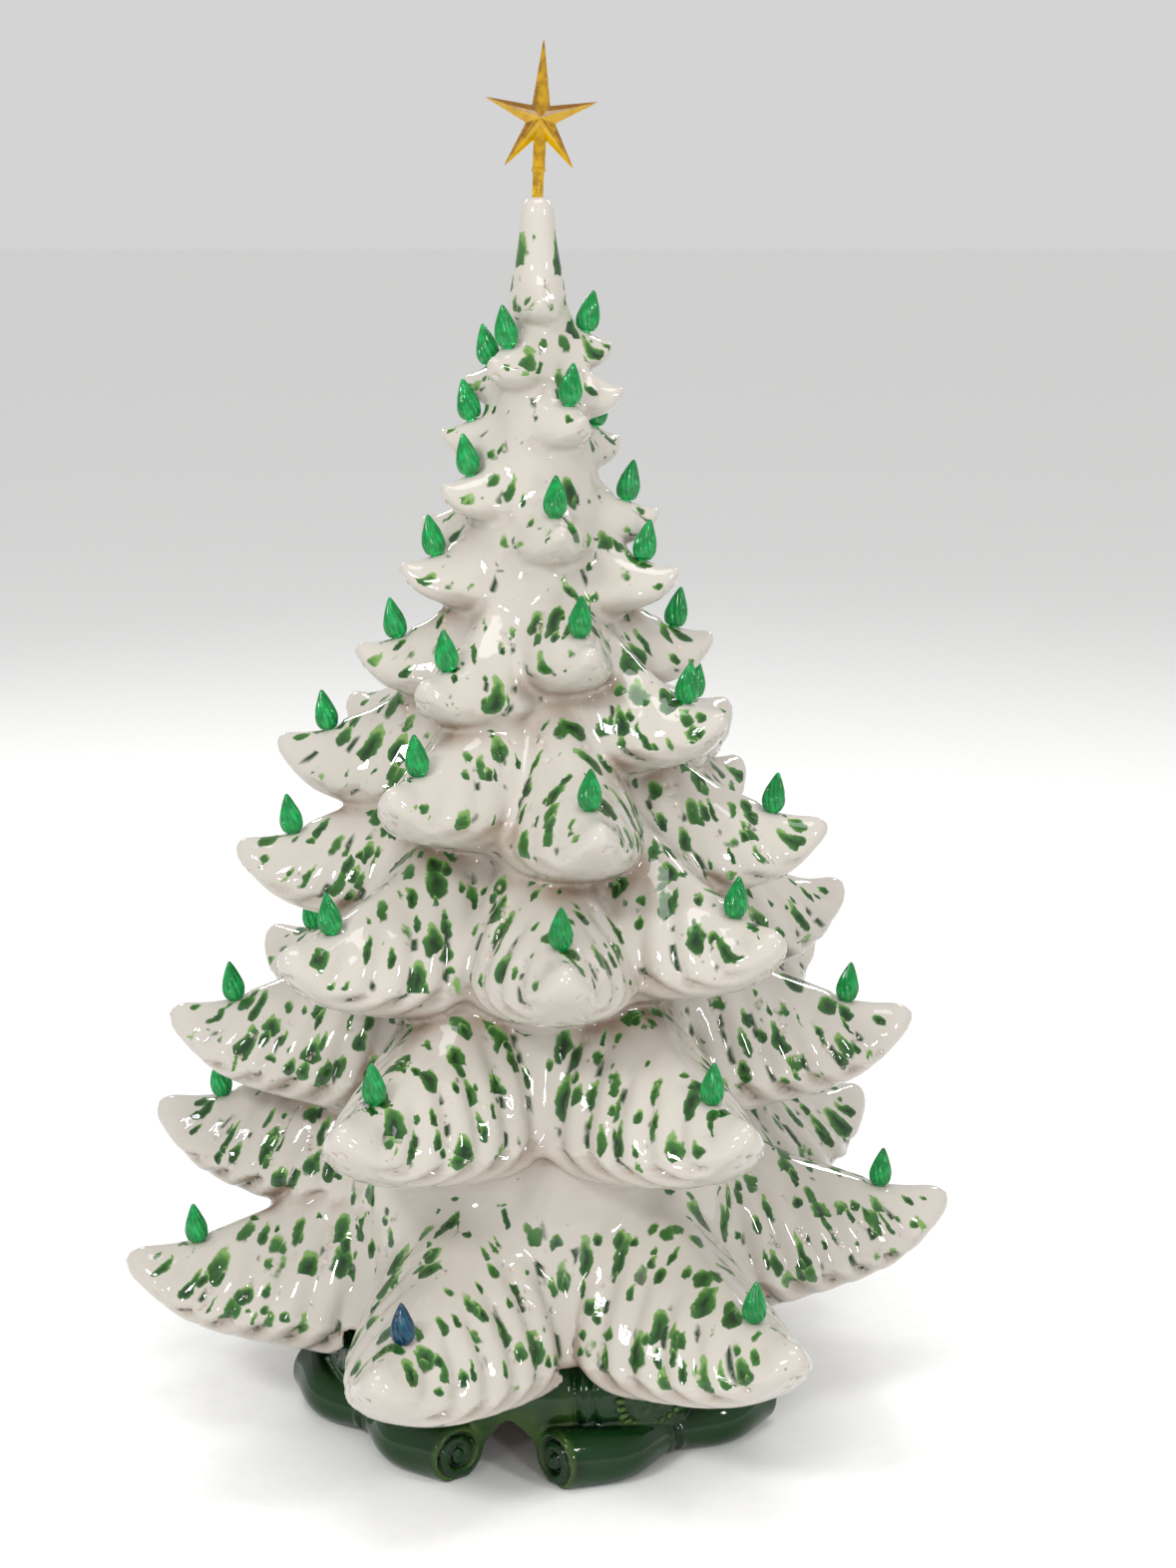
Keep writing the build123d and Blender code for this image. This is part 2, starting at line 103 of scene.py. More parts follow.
class Curve:
    """A smooth line through a few (place, value) points, read at many places."""

    SAMPLES = 400

    def __init__(self, points: list[tuple[float, float]]) -> None:
        """Works out the line once.

        Args:
            points: places in rising order, with the value at each.
        """
        place, value = np.array(points, float).T
        slope = np.gradient(value, place)
        self.places = np.linspace(place[0], place[-1], self.SAMPLES)
        index = np.clip(np.searchsorted(place, self.places, "right") - 1, 0, len(place) - 2)
        width = place[index + 1] - place[index]
        t = (self.places - place[index]) / width
        self.values = (
            value[index] * (2 * t**3 - 3 * t**2 + 1)
            + value[index + 1] * (3 * t**2 - 2 * t**3)
            + slope[index] * width * (t**3 - 2 * t**2 + t)
            + slope[index + 1] * width * (t**3 - t**2)
        )

    def __call__(self, place: np.ndarray | float) -> np.ndarray:
        """Values at the given places, held level past the ends."""
        return np.interp(place, self.places, self.values)


@dataclass
class Clay:
    """A box of sample points that holds a distance field, negative inside the clay."""

    low: tuple[float, float, float]
    high: tuple[float, float, float]
    step: float
    values: np.ndarray = field(init=False)

    CORNERS = np.array([(i, j, k) for i in (0, 1) for j in (0, 1) for k in (0, 1)])

    def __post_init__(self) -> None:
        """Lays out the sample points, all outside the clay."""
        spans = [np.arange(a, b + self.step, self.step) for a, b in zip(self.low, self.high)]
        self.axes = [span.astype(np.float32) for span in spans]
        self.values = np.full([len(span) for span in spans], FAR, np.float32)

    def window(self, low: np.ndarray, high: np.ndarray) -> tuple[slice, slice, slice]:
        """Sample points inside a box.

        Args:
            low: lowest corner.
            high: highest corner.

        Returns:
            One slice for each axis.
        """
        first = np.floor((np.array(low) - self.low) / self.step).astype(int)
        last = np.ceil((np.array(high) - self.low) / self.step).astype(int) + 1
        return tuple(slice(max(a, 0), max(b, 1)) for a, b in zip(first, last))

    def points(self, window: tuple[slice, slice, slice]) -> tuple[np.ndarray, np.ndarray, np.ndarray]:
        """Coordinates of a window, ready to broadcast against each other."""
        x, y, z = (axis[part] for axis, part in zip(self.axes, window))
        return x[:, None, None], y[None, :, None], z[None, None, :]

    def whole(self) -> tuple[np.ndarray, np.ndarray, np.ndarray]:
        """Coordinates of every sample point."""
        return self.points((slice(None),) * 3)

    def add(self, window: tuple[slice, slice, slice], distance: np.ndarray, fillet: float) -> None:
        """Adds a form to the clay inside a window, with a fillet."""
        self.values[window] = blend_min(self.values[window], distance.astype(np.float32), fillet)

    def sample(self, places: np.ndarray, values: np.ndarray | None = None) -> np.ndarray:
        """Field at free places, between the sample points.

        Args:
            places: rows of x, y, z.
            values: another field on the same points, or None for the clay's own.

        Returns:
            One value for each row.
        """
        source = self.values if values is None else values
        where = (places - np.array(self.low)) / self.step
        where = np.clip(where, 0, np.array(source.shape) - 1.001)
        cell = where.astype(int)
        share = where - cell
        total = np.zeros(len(places))
        for corner in self.CORNERS:
            weight = np.prod(np.where(corner, share, 1 - share), axis=1)
            total += weight * source[tuple((cell + corner).T)]
        return total

    def slope(self, places: np.ndarray, values: np.ndarray | None = None) -> np.ndarray:
        """Gradient of the field at free places, one row each."""
        ahead = [self.sample(places + self.step * axis / 2, values) for axis in np.eye(3)]
        behind = [self.sample(places - self.step * axis / 2, values) for axis in np.eye(3)]
        return (np.array(ahead) - np.array(behind)).T / self.step

    def crowding(self, places: np.ndarray, normal: np.ndarray, depths: tuple[float, ...],
                 values: np.ndarray | None = None, side: int = 1) -> np.ndarray:
        """How closed in each place of the surface is.

        Args:
            places: rows of x, y, z on the surface.
            normal: the surface's direction at each.
            depths: how far away the field is read.
            values: another field on the same points, or None for the clay's own.
            side: 1 looks out of the clay for hollows, and -1 looks into it for raised edges.

        Returns:
            One number from 0 to 1 for each row.
        """
        total = np.zeros(len(places))
        for depth in depths:
            found = self.sample(places + side * depth * normal, values)
            total += np.clip(1 - side * found / depth, 0, 1) / len(depths)
        return total

    def skin(self, passes: int = 3) -> tuple[np.ndarray, list[list[int]]]:
        """Surface of the clay as an even mesh of quads.

        Args:
            passes: how often the mesh is evened out and drawn back to the surface.

        Returns:
            Vertex rows and quad rows, with the quads facing outwards.
        """
        inside = self.values < 0
        spans = np.array(inside.shape) - 1
        count = np.zeros(spans, np.int8)
        for corner in self.CORNERS:
            count += inside[tuple(slice(a, a + span) for a, span in zip(corner, spans))]
        cells = np.argwhere((count > 0) & (count < 8))
        number = np.full(count.shape, -1, np.int32)
        number[tuple(cells.T)] = np.arange(len(cells))
        around = (cells[:, None, :] + self.CORNERS[None]).transpose(2, 0, 1)
        corner = self.values[tuple(around)].astype(float)
        total = np.zeros((len(cells), 3))
        hits = np.zeros(len(cells))
        for a, first in enumerate(self.CORNERS):
            for b, second in enumerate(self.CORNERS):
                if (second - first).sum() != 1 or np.abs(second - first).sum() != 1:
                    continue
                crossed = (corner[:, a] < 0) != (corner[:, b] < 0)
                share = corner[crossed, a] / (corner[crossed, a] - corner[crossed, b])
                total[crossed] += first + share[:, None] * (second - first)
                hits[crossed] += 1
        vertices = np.array(self.low) + self.step * (cells + total / hits[:, None])
        quads = np.concatenate([self._quads(inside, number, axis) for axis in range(3)])
        for _ in range(passes):
            vertices = self._even(vertices, quads)
        return vertices, quads.tolist()

    @staticmethod
    def _quads(inside: np.ndarray, number: np.ndarray, axis: int) -> np.ndarray:
        """Quads around the sample lines that run along one axis.

        Args:
            inside: which sample points are in the clay.
            number: vertex number of each cell.
            axis: 0, 1 or 2.

        Returns:
            Quad rows of vertex numbers.
        """
        side, up = (axis + 1) % 3, (axis + 2) % 3
        first = np.moveaxis(inside, (axis, side, up), (0, 1, 2))[:, 1:-1, 1:-1]
        cells = np.moveaxis(number, (axis, side, up), (0, 1, 2))
        i, j, k = np.nonzero(first[:-1] != first[1:])
        around = [cells[i, j, k], cells[i, j + 1, k], cells[i, j + 1, k + 1], cells[i, j, k + 1]]
        quads = np.stack(around, axis=1)
        outward = first[i, j, k]
        quads[~outward] = quads[~outward][:, ::-1]
        return quads

    def _even(self, vertices: np.ndarray, quads: np.ndarray) -> np.ndarray:
        """Moves each vertex towards the middle of its neighbours, then back to the surface."""
        total = np.zeros_like(vertices)
        count = np.zeros(len(vertices))
        for shift in (1, 3):
            for column in range(4):
                np.add.at(total, quads[:, column], vertices[quads[:, (column + shift) % 4]])
                np.add.at(count, quads[:, column], 1)
        moved = vertices + 0.5 * (total / count[:, None] - vertices)
        slope = self.slope(moved)
        steep = np.maximum((slope * slope).sum(axis=1), 0.05)
        back = np.clip(self.sample(moved) / steep, -self.step, self.step)
        return moved - back[:, None] * slope


class Wire:
    """A node's output that takes part in sums: each operation adds a Math node."""

    def __init__(self, graph: "Graph", socket: bpy.types.NodeSocket) -> None:
        """Keeps the output and the graph that it belongs to."""
        self.graph = graph
        self.socket = socket

    def _math(self, operation: str, first: "Wire | float", second: "Wire | float") -> "Wire":
        """One Math node on two values."""
        return self.graph.node("ShaderNodeMath", {"operation": operation}, {0: first, 1: second})["Value"]

    def __add__(self, other: "Wire | float") -> "Wire":
        """Sum."""
        return self._math("ADD", self, other)

    def __sub__(self, other: "Wire | float") -> "Wire":
        """Difference."""
        return self._math("SUBTRACT", self, other)

    def __rsub__(self, other: float) -> "Wire":
        """Difference from a number."""
        return self._math("SUBTRACT", other, self)

    def __mul__(self, other: "Wire | float") -> "Wire":
        """Product."""
        return self._math("MULTIPLY", self, other)

    def __truediv__(self, other: "Wire | float") -> "Wire":
        """Quotient."""
        return self._math("DIVIDE", self, other)

    def __rtruediv__(self, other: float) -> "Wire":
        """A number over this value."""
        return self._math("DIVIDE", other, self)

    def __pow__(self, other: float) -> "Wire":
        """Power."""
        return self._math("POWER", self, other)

    __radd__ = __add__
    __rmul__ = __mul__

    def highest(self, other: "Wire | float") -> "Wire":
        """The larger of two values."""
        return self._math("MAXIMUM", self, other)

    def eased(self, low: "Wire | float", high: "Wire | float") -> "Wire":
        """Eased step from 0 at low to 1 at high."""
        settings = {"interpolation_type": "SMOOTHSTEP"}
        return self.graph.node("ShaderNodeMapRange", settings, {"Value": self, 1: low, 2: high})["Result"]


class Made:
    """A node that was just added, whose outputs are read by name."""

    def __init__(self, graph: "Graph", node: bpy.types.Node) -> None:
        """Keeps the node and its graph."""
        self.graph = graph
        self.node = node

    def __getitem__(self, name: str) -> Wire:
        """The output of that name or identifier."""
        return Wire(self.graph, Graph.find(self.node.outputs, name))


class Graph:
    """A node tree that is written as expressions."""

    def __init__(self, tree: bpy.types.NodeTree) -> None:
        """Keeps the tree that the nodes go into."""
        self.tree = tree

    @staticmethod
    def find(sockets: bpy.types.bpy_prop_collection, key: str | int) -> bpy.types.NodeSocket:
        """A socket by its place, identifier or name."""
        if isinstance(key, int):
            return sockets[key]
        for socket in sockets:
            if socket.identifier == key:
                return socket
        return sockets[key]

    def node(self, kind: str, settings: dict[str, Setting] | None = None,
             inputs: dict[str | int, Setting] | None = None) -> Made:
        """Adds any node.

        Args:
            kind: the node's type.
            settings: its properties, set first; curve holds a Float Curve's (place, value) points.
            inputs: values or wires for its sockets.

        Returns:
            The node, ready to have its outputs read.
        """
        made = self.tree.nodes.new(kind)
        for name, value in (settings or {}).items():
            if name == "curve":
                line = made.mapping.curves[0].points
                while len(line) < len(value):
                    line.new(0.5, 0.5)
                for point, place in zip(line, value):
                    point.location = place
                made.mapping.update()
            else:
                setattr(made, name, value)
        for key, value in (inputs or {}).items():
            socket = self.find(made.inputs, key)
            if isinstance(value, Wire):
                self.tree.links.new(value.socket, socket)
            else:
                socket.default_value = value
        return Made(self, made)

    def attribute(self, name: str) -> Made:
        """What the mesh stores at each point under a name."""
        return self.node("ShaderNodeAttribute", {"attribute_name": name})

    def place(self) -> Wire:
        """Object coordinates."""
        return self.node("ShaderNodeTexCoord")["Object"]

    def vector(self, operation: str, first: Setting, second: Setting) -> Wire:
        """One Vector Math node on two vectors."""
        return self.node("ShaderNodeVectorMath", {"operation": operation}, {0: first, 1: second})["Vector"]

    def dot(self, first: Setting, second: Setting) -> Wire:
        """How far one vector goes along another."""
        settings = {"operation": "DOT_PRODUCT"}
        return self.node("ShaderNodeVectorMath", settings, {0: first, 1: second})["Value"]

    def mix(self, factor: Wire | float, first: Wire | Colour, second: Wire | Colour) -> Wire:
        """Colour from first at 0 to second at 1."""
        inputs = {"Factor_Float": factor, "A_Color": first, "B_Color": second}
        return self.node("ShaderNodeMix", {"data_type": "RGBA"}, inputs)["Result_Color"]

    def noise(self, place: Wire, scale: float, detail: float = 2.0,
              stretch: tuple[float, float, float] = (1, 1, 1)) -> Wire:
        """Soft noise from 0 to 1.

        Args:
            place: coordinates in metres.
            scale: waves in a metre.
            detail: finer layers.
            stretch: how much denser the waves are along each axis.

        Returns:
            The noise's value.
        """
        spread = self.vector("MULTIPLY", place, stretch)
        inputs = {"Vector": spread, "Scale": scale, "Detail": detail}
        return self.node("ShaderNodeTexNoise", {"noise_dimensions": "3D"}, inputs)["Fac"]

    def bump(self, height: Wire, depth: float, strength: float = 1.0) -> Wire:
        """Normal that follows a height from 0 to 1, which is a depth in metres."""
        inputs = {"Height": height, "Distance": depth, "Strength": strength}
        return self.node("ShaderNodeBump", {}, inputs)["Normal"]


@dataclass(frozen=True)
class Finish:
    """A surface finish: its name, and what its shader's sockets hold."""

    name: str

    def sockets(self, graph: Graph) -> dict[str, Setting]:
        """Values and wires for the shader's sockets."""
        raise NotImplementedError

    def material(self) -> bpy.types.Material:
        """The finish as a material with its own nodes."""
        material = bpy.data.materials.new(self.name)
        material.use_nodes = True
        material.node_tree.nodes.clear()
        graph = Graph(material.node_tree)
        shader = graph.node("ShaderNodeBsdfPrincipled", {}, self.sockets(graph))
        graph.node("ShaderNodeOutputMaterial", {}, {"Surface": shader["BSDF"]})
        return material


@dataclass(frozen=True)
class WhiteGlaze(Finish):
    """Glossy white glaze with daubs of green that ran a little before they set, and painted shade in its
    hollows and creases.
    """

    white: Colour = tint(188, 182, 173)
    shade: Colour = tint(140, 119, 100)
    bisque: Colour = tint(214, 200, 180)
    # brown of the real dirt specks, and of the painted shade in the creases
    dirt_and_crease_shade: Colour = tint(96, 74, 56)
    thin_green: Colour = tint(116, 152, 84)
    green: Colour = tint(52, 100, 42)
    deep_green: Colour = tint(18, 46, 20)
    gloss: float = 0.045

    def daubs(self, graph: Graph, spacing: float, size: tuple[float, float],
              share: float) -> tuple[Wire, Wire]:
        """One layer of green daubs, each drawn out the way that the glaze ran.

        Args:
            graph: the material's graph.
            spacing: about how far apart the daubs are, in metres.
            size: half a daub's width and length, in metres.
            share: how many of the places hold a daub.

        Returns:
            Where the daubs are, and how thick the green lies in them.
        """
        place = graph.place()
        inputs = {"Vector": place, "Scale": 0.55 / size[0], "Detail": 2.0}
        wobble = graph.node("ShaderNodeTexNoise", {}, inputs)["Color"]
        bend = graph.vector("SUBTRACT", wobble, (0.5, 0.5, 0.5))
        bend = graph.vector("MULTIPLY", bend, (size[0] * 1.5,) * 3)
        spread = graph.vector("DIVIDE", graph.vector("ADD", place, bend), (spacing,) * 3)
        cells = graph.node("ShaderNodeTexVoronoi", {"feature": "F1"}, {"Vector": spread, "Scale": 1.0})
        away = graph.vector("MULTIPLY", graph.vector("SUBTRACT", spread, cells["Position"]), (spacing,) * 3)
        along = graph.dot(away, graph.attribute("flow")["Vector"])
        deep = graph.dot(away, graph.attribute("outward")["Vector"])
        across = (graph.dot(away, away) - along * along - deep * deep * 0.6).highest(0.0)
        chance = graph.node("ShaderNodeSeparateColor", {}, {0: cells["Color"]})
        length = (chance["Green"] + 0.45) * size[1]
        lower = along / length
        width = (chance["Red"] * 0.9 + 0.5) * size[0] * (lower * 0.3 + 1.0)
        edge = (across / (width * width) + lower * lower) ** 0.5
        edge = edge + (1 - graph.attribute("daubed")["Fac"]) * 1.2
        there = chance["Blue"].eased(1 - share, 1.001 - share)
        return edge.eased(1.03, 0.86) * there, (1 - edge) + lower * 0.5

    def sockets(self, graph: Graph) -> dict[str, Setting]:
        """Values and wires for the shader's sockets."""
        place = graph.place()
        hollow = graph.attribute("hollow")["Fac"]
        inside = graph.attribute("inside")["Fac"]
        cloud = graph.noise(place, 22, 3.0)
        # painted shade: the white turns towards the shade colour in hollows; the cloud noise adds tone that
        # differs at random
        shaded = (hollow * 0.9 + (cloud - 0.5) * 0.35).eased(0.1, 0.95)
        colour = graph.mix(shaded, self.white, self.shade)
        inputs = {"Vector": place, "Scale": 150.0}
        specks = graph.node("ShaderNodeTexVoronoi", {"feature": "F1"}, inputs)["Distance"]
        grime = graph.noise(place, 30, 2.0).eased(0.52, 0.72) * specks.eased(0.13, 0.07)
        # painted shade: brown patches in the creases stand for shade; the fine specks are real dirt
        painted_crease_shade = graph.noise(place, 48, 3.0).eased(0.46, 0.66) * hollow.eased(0.3, 0.75)
        colour = graph.mix(grime.highest(painted_crease_shade * 0.7) * 0.55, colour, self.dirt_and_crease_shade)
        groove = graph.attribute("groove")["Fac"]
        streak = graph.noise(place, 95, 1.0).eased(0.55, 0.62) * groove.eased(0.5, 0.8)
        layers = [
            self.daubs(graph, 0.0138, (0.0034, 0.0096), 0.95),
            self.daubs(graph, 0.0088, (0.0020, 0.0046), 0.55),
            (streak, groove),
        ]
        for mask, thick in layers:
            pale = graph.mix(thick.eased(-0.1, 0.3), self.thin_green, self.green)
            daub = graph.mix(thick.eased(0.25, 0.9), pale, self.deep_green)
            colour = graph.mix(mask, colour, daub)
        colour = graph.mix(inside, colour, self.bisque)
        wave = graph.noise(place, 60, 2.0)
        return {
            "Base Color": colour,
            "Roughness": inside * 0.7 + self.gloss,
            "IOR": 1.52,
            "Normal": graph.bump(wave, 0.0008, 0.35),
        }


@dataclass(frozen=True)
class GreenGlaze(Finish):
    """Dark green glaze that breaks lighter on raised edges and pools almost black in grooves."""

    green: Colour = tint(16, 50, 18)
    light_green: Colour = tint(74, 104, 36)
    dark_green: Colour = tint(3, 22, 9)
    bisque: Colour = tint(206, 192, 172)

    def sockets(self, graph: Graph) -> dict[str, Setting]:
        """Values and wires for the shader's sockets."""
        place = graph.place()
        hollow = graph.attribute("hollow")["Fac"]
        raised = graph.attribute("raised")["Fac"]
        inside = graph.attribute("inside")["Fac"]
        cloud = graph.noise(place, 38, 4.0)
        brush = graph.noise(place, 70, 3.0, (1.0, 1.0, 0.25))
        pooled = (hollow * 1.2 + (cloud - 0.5) * 0.9).eased(0.05, 0.8)
        broken = (raised + (brush - 0.5) * 0.8).eased(0.25, 0.95)
        colour = graph.mix(pooled, self.green, self.dark_green)
        colour = graph.mix(broken * 0.75, colour, self.light_green)
        colour = graph.mix(inside, colour, self.bisque)
        return {
            "Base Color": colour,
            "Roughness": inside * 0.65 + cloud * 0.06 + 0.03,
            "IOR": 1.52,
            "Specular IOR Level": 0.32,
            "Normal": graph.bump(cloud, 0.0007, 0.5),
        }


@dataclass(frozen=True)
class ClearPlastic(Finish):
    """Coloured moulded plastic that lets light through, with painted light and shade where the mesh stores
    it.
    """

    colour: Colour
    deep: Colour
    clear: float = 0.6
    gloss: float = 0.01

    def sockets(self, graph: Graph) -> dict[str, Setting]:
        """Values and wires for the shader's sockets."""
        place = graph.place()
        flow = graph.noise(place, 260, 2.0)
        # painted light and shade that the mesh stores: on the lights, lighter flute ridges, darker grooves
        # and a lighter peg end; on the star, darker upward facets. The noise adds tone that differs at
        # random
        deep = flow.eased(0.3, 0.7) * 0.4 + graph.attribute("rib")["Fac"] * 0.8
        return {
            "Base Color": graph.mix(deep.eased(0.0, 1.0), self.colour, self.deep),
            "Roughness": flow * 0.04 + self.gloss,
            "IOR": 1.49,
            "Transmission Weight": self.clear,
            "Normal": graph.bump(flow, 0.0001, 0.3),
        }


@dataclass(frozen=True)
class Metal(Finish):
    """Bare or plated metal with fine turning marks and a little tarnish."""

    colour: Colour
    tarnish: Colour
    roughness: float = 0.28

    def sockets(self, graph: Graph) -> dict[str, Setting]:
        """Values and wires for the shader's sockets."""
        place = graph.place()
        patch = graph.noise(place, 180, 3.0)
        marks = graph.noise(place, 900, 1.0, (0.2, 0.2, 4.0))
        return {
            "Base Color": graph.mix(patch.eased(0.45, 0.75), self.colour, self.tarnish),
            "Metallic": 1.0,
            "Roughness": patch * 0.2 + self.roughness,
            "Normal": graph.bump(marks, 0.0001, 0.4),
        }


@dataclass(frozen=True)
class Moulding(Finish):
    """Opaque moulded plastic or rubber with a fine grain."""

    colour: Colour
    worn: Colour
    roughness: float = 0.45

    def sockets(self, graph: Graph) -> dict[str, Setting]:
        """Values and wires for the shader's sockets."""
        place = graph.place()
        grain = graph.noise(place, 1400, 2.0)
        patch = graph.noise(place, 120, 3.0)
        return {
            "Base Color": graph.mix(patch.eased(0.4, 0.8), self.colour, self.worn),
            "Roughness": patch * 0.2 + self.roughness,
            "Normal": graph.bump(grain, 0.0002, 0.4),
        }


@dataclass(frozen=True)
class FrostedGlass(Finish):
    """Lamp glass, frosted inside."""

    colour: Colour = tint(244, 240, 230)

    def sockets(self, graph: Graph) -> dict[str, Setting]:
        """Values and wires for the shader's sockets."""
        frost = graph.noise(graph.place(), 500, 2.0)
        return {
            "Base Color": graph.mix(frost.eased(0.3, 0.8), self.colour, tint(228, 222, 210)),
            "Roughness": frost * 0.1 + 0.3,
            "IOR": 1.5,
            "Transmission Weight": 0.55,
            "Normal": graph.bump(frost, 0.0001, 0.3),
        }


class Paint(Enum):
    """Every finish on the object."""

    WHITE_GLAZE = WhiteGlaze("glossy_white_with_daubs")
    GREEN_GLAZE = GreenGlaze("glossy_dark_green")
    GREEN_PLASTIC = ClearPlastic("clear_emerald", tint(16, 236, 122), tint(0, 136, 62), 0.4)
    BLUE_PLASTIC = ClearPlastic("clear_blue", tint(0, 124, 156), tint(0, 62, 92), 0.4)
    AMBER_PLASTIC = ClearPlastic("clear_amber", tint(252, 204, 6), tint(146, 100, 6), 0.55)
    BRASS = Metal("lamp_brass", tint(196, 160, 92), tint(140, 104, 52))
    STEEL = Metal("plated_steel", tint(184, 186, 188), tint(132, 132, 128), 0.3)
    SOLDER = Metal("grey_solder", tint(170, 172, 174), tint(116, 118, 120), 0.4)
    DARK_PLASTIC = Moulding("dark_moulding", tint(34, 30, 28), tint(52, 46, 42))
    RUBBER = Moulding("soft_rubber", tint(24, 24, 24), tint(44, 42, 40), 0.6)
    GLASS = FrostedGlass("frosted_bulb")
    FLOOR = Moulding("pale_floor", tint(250, 250, 249), tint(247, 247, 246), 0.7)

    def material(self) -> bpy.types.Material:
        """The finish's material, made the first time that it is asked for."""
        return bpy.data.materials.get(self.value.name) or self.value.material()


def link(name: str, data: bpy.types.ID) -> bpy.types.Object:
    """A new object for a mesh, light or camera, at the origin and in the scene."""
    made = bpy.data.objects.new(name, data)
    bpy.context.scene.collection.objects.link(made)
    return made


def mesh_object(name: str, vertices: np.ndarray, faces: list[list[int]],
                paint: Paint | None = None) -> bpy.types.Object:
    """A mesh object at the origin, smooth shaded where it has a finish.

    Args:
        name: the object's name.
        vertices: rows of x, y, z in metres.
        faces: rows of vertex numbers.
        paint: its finish, or None for a tool that is used up.

    Returns:
        The new object, in the scene.
    """
    mesh = bpy.data.meshes.new(name)
    mesh.from_pydata(vertices.tolist(), [], faces)
    if paint:
        mesh.shade_smooth()
        mesh.materials.append(paint.material())
    return link(name, mesh)


def store(target: bpy.types.Object, name: str, values: np.ndarray, domain: str = "POINT") -> None:
    """Stores a number, or three, at each vertex or face of a mesh.

    Args:
        target: the mesh object.
        name: the attribute's name.
        values: one number or one row for each vertex or face.
        domain: POINT for vertices or FACE for faces.
    """
    kind, key = ("FLOAT", "value") if values.ndim == 1 else ("FLOAT_VECTOR", "vector")
    attribute = target.data.attributes.new(name, kind, domain)
    attribute.data.foreach_set(key, values.astype(np.float32).ravel())


def settle(piece: bpy.types.Object, body: str, slot: str, *nodes: str) -> None:
    """Puts a finished piece on its body, in place of the nodes that it stands for.

    Args:
        piece: the finished piece.
        body: the body that it moves with.
        slot: the material slot of its finish; not used.
        nodes: the nodes that it replaces.
    """
    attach(piece, body)
    if nodes:
        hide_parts(*nodes)
    LOG.info("%s: %d vertices on %s", piece.name, len(piece.data.vertices), body)


def smooth(mesh: bpy.types.Mesh, sharp: float) -> None:
    """Shades a mesh smooth, except across edges that turn by more than an angle in degrees."""
    mesh.shade_smooth()
    mesh.set_sharp_from_angle(angle=math.radians(sharp))


def bake(piece: bpy.types.Object) -> None:
    """Turns what a piece's modifiers make into its plain mesh."""
    graph = bpy.context.evaluated_depsgraph_get()
    mesh = bpy.data.meshes.new_from_object(piece.evaluated_get(graph))
    piece.modifiers.clear()
    piece.data = mesh


def places_of(piece: bpy.types.Object) -> np.ndarray:
    """Vertex rows of a mesh object."""
    flat = np.empty(len(piece.data.vertices) * 3)
    piece.data.vertices.foreach_get("co", flat)
    return flat.reshape(-1, 3)


def carve(piece: bpy.types.Object, cutter: bpy.types.Object, operation: str = "DIFFERENCE") -> None:
    """Cuts a cutter from a piece, or joins it on, and takes the cutter away.

    Args:
        piece: the piece that is changed.
        cutter: the other mesh object.
        operation: the Boolean modifier's operation.
    """
    modifier = piece.modifiers.new("carve", "BOOLEAN")
    modifier.operation = operation
    modifier.solver = "MANIFOLD"
    modifier.object = cutter
    bake(piece)
    bpy.data.objects.remove(cutter)


class Nodes:
    """A geometry node tree with named inputs, which ends in a painted mesh."""

    def __init__(self, name: str, inputs: dict[str, str]) -> None:
        """Makes the tree's interface.

        Args:
            name: the tree's name.
            inputs: what each input holds, by its name; one of them is Material.
        """
        face = bpy.data.node_groups.new(name, "GeometryNodeTree").interface
        self.names = {
            label: face.new_socket(label, in_out="INPUT", socket_type=f"NodeSocket{kind}").identifier
            for label, kind in inputs.items()
        }
        face.new_socket("Geometry", in_out="OUTPUT", socket_type="NodeSocketGeometry")
        self.graph = Graph(bpy.data.node_groups[name])
        self.given = self.graph.node("NodeGroupInput")

    def close(self, geometry: Wire) -> None:
        """Ends the tree: makes instances real and paints the mesh."""
        real = self.graph.node("GeometryNodeRealizeInstances", {}, {"Geometry": geometry})["Geometry"]
        inputs = {"Geometry": real, "Material": self.given["Material"]}
        painted = self.graph.node("GeometryNodeSetMaterial", {}, inputs)["Geometry"]
        self.graph.node("NodeGroupOutput", {}, {"Geometry": painted})

    def evaluated(self, name: str, values: dict[str, Setting]) -> bpy.types.Object:
        """What the tree makes, as a plain mesh object at the origin.

        Args:
            name: the new object's name.
            values: the inputs, by name.

        Returns:
            The object.
        """
        piece = link(name, bpy.data.meshes.new(name))
        modifier = piece.modifiers.new("nodes", "NODES")
        modifier.node_group = self.graph.tree
        for label, value in values.items():
            modifier[self.names[label]] = value
        bake(piece)
        return piece


def triangles_of(piece: bpy.types.Object) -> int:
    """How many triangles a mesh object has."""
    return sum(len(face.vertices) - 2 for face in piece.data.polygons)


def thin(piece: bpy.types.Object, ratio: float, group: str = "") -> None:
    """Takes faces out of the flattest places of a piece.

    Args:
        piece: the piece that is changed.
        ratio: the share of its triangles that stays.
        group: the vertex group that is thinned, or nothing for the whole piece.
    """
    before = triangles_of(piece)
    modifier = piece.modifiers.new("thin", "DECIMATE")
    modifier.vertex_group = group
    modifier.ratio = min(1.0, ratio)
    bake(piece)
    form = bmesh.new()
    form.from_mesh(piece.data)
    flaps = [face for face in form.faces if sum(edge.is_boundary for edge in face.edges) > 1]
    bmesh.ops.delete(form, geom=flaps, context="FACES")
    form.to_mesh(piece.data)
    form.free()
    LOG.info("%s: thinned from %d to %d triangles", piece.name, before, triangles_of(piece))


def thin_inside(piece: bpy.types.Object, inner: np.ndarray) -> None:
    """Takes faces out of the unseen inner wall, given which vertices are on it."""
    group = piece.vertex_groups.new(name="inner")
    group.add(np.nonzero(inner)[0].tolist(), 1.0, "REPLACE")
    thin(piece, 1 - INNER_CUT * inner.mean(), group.name)
    piece.vertex_groups.clear()


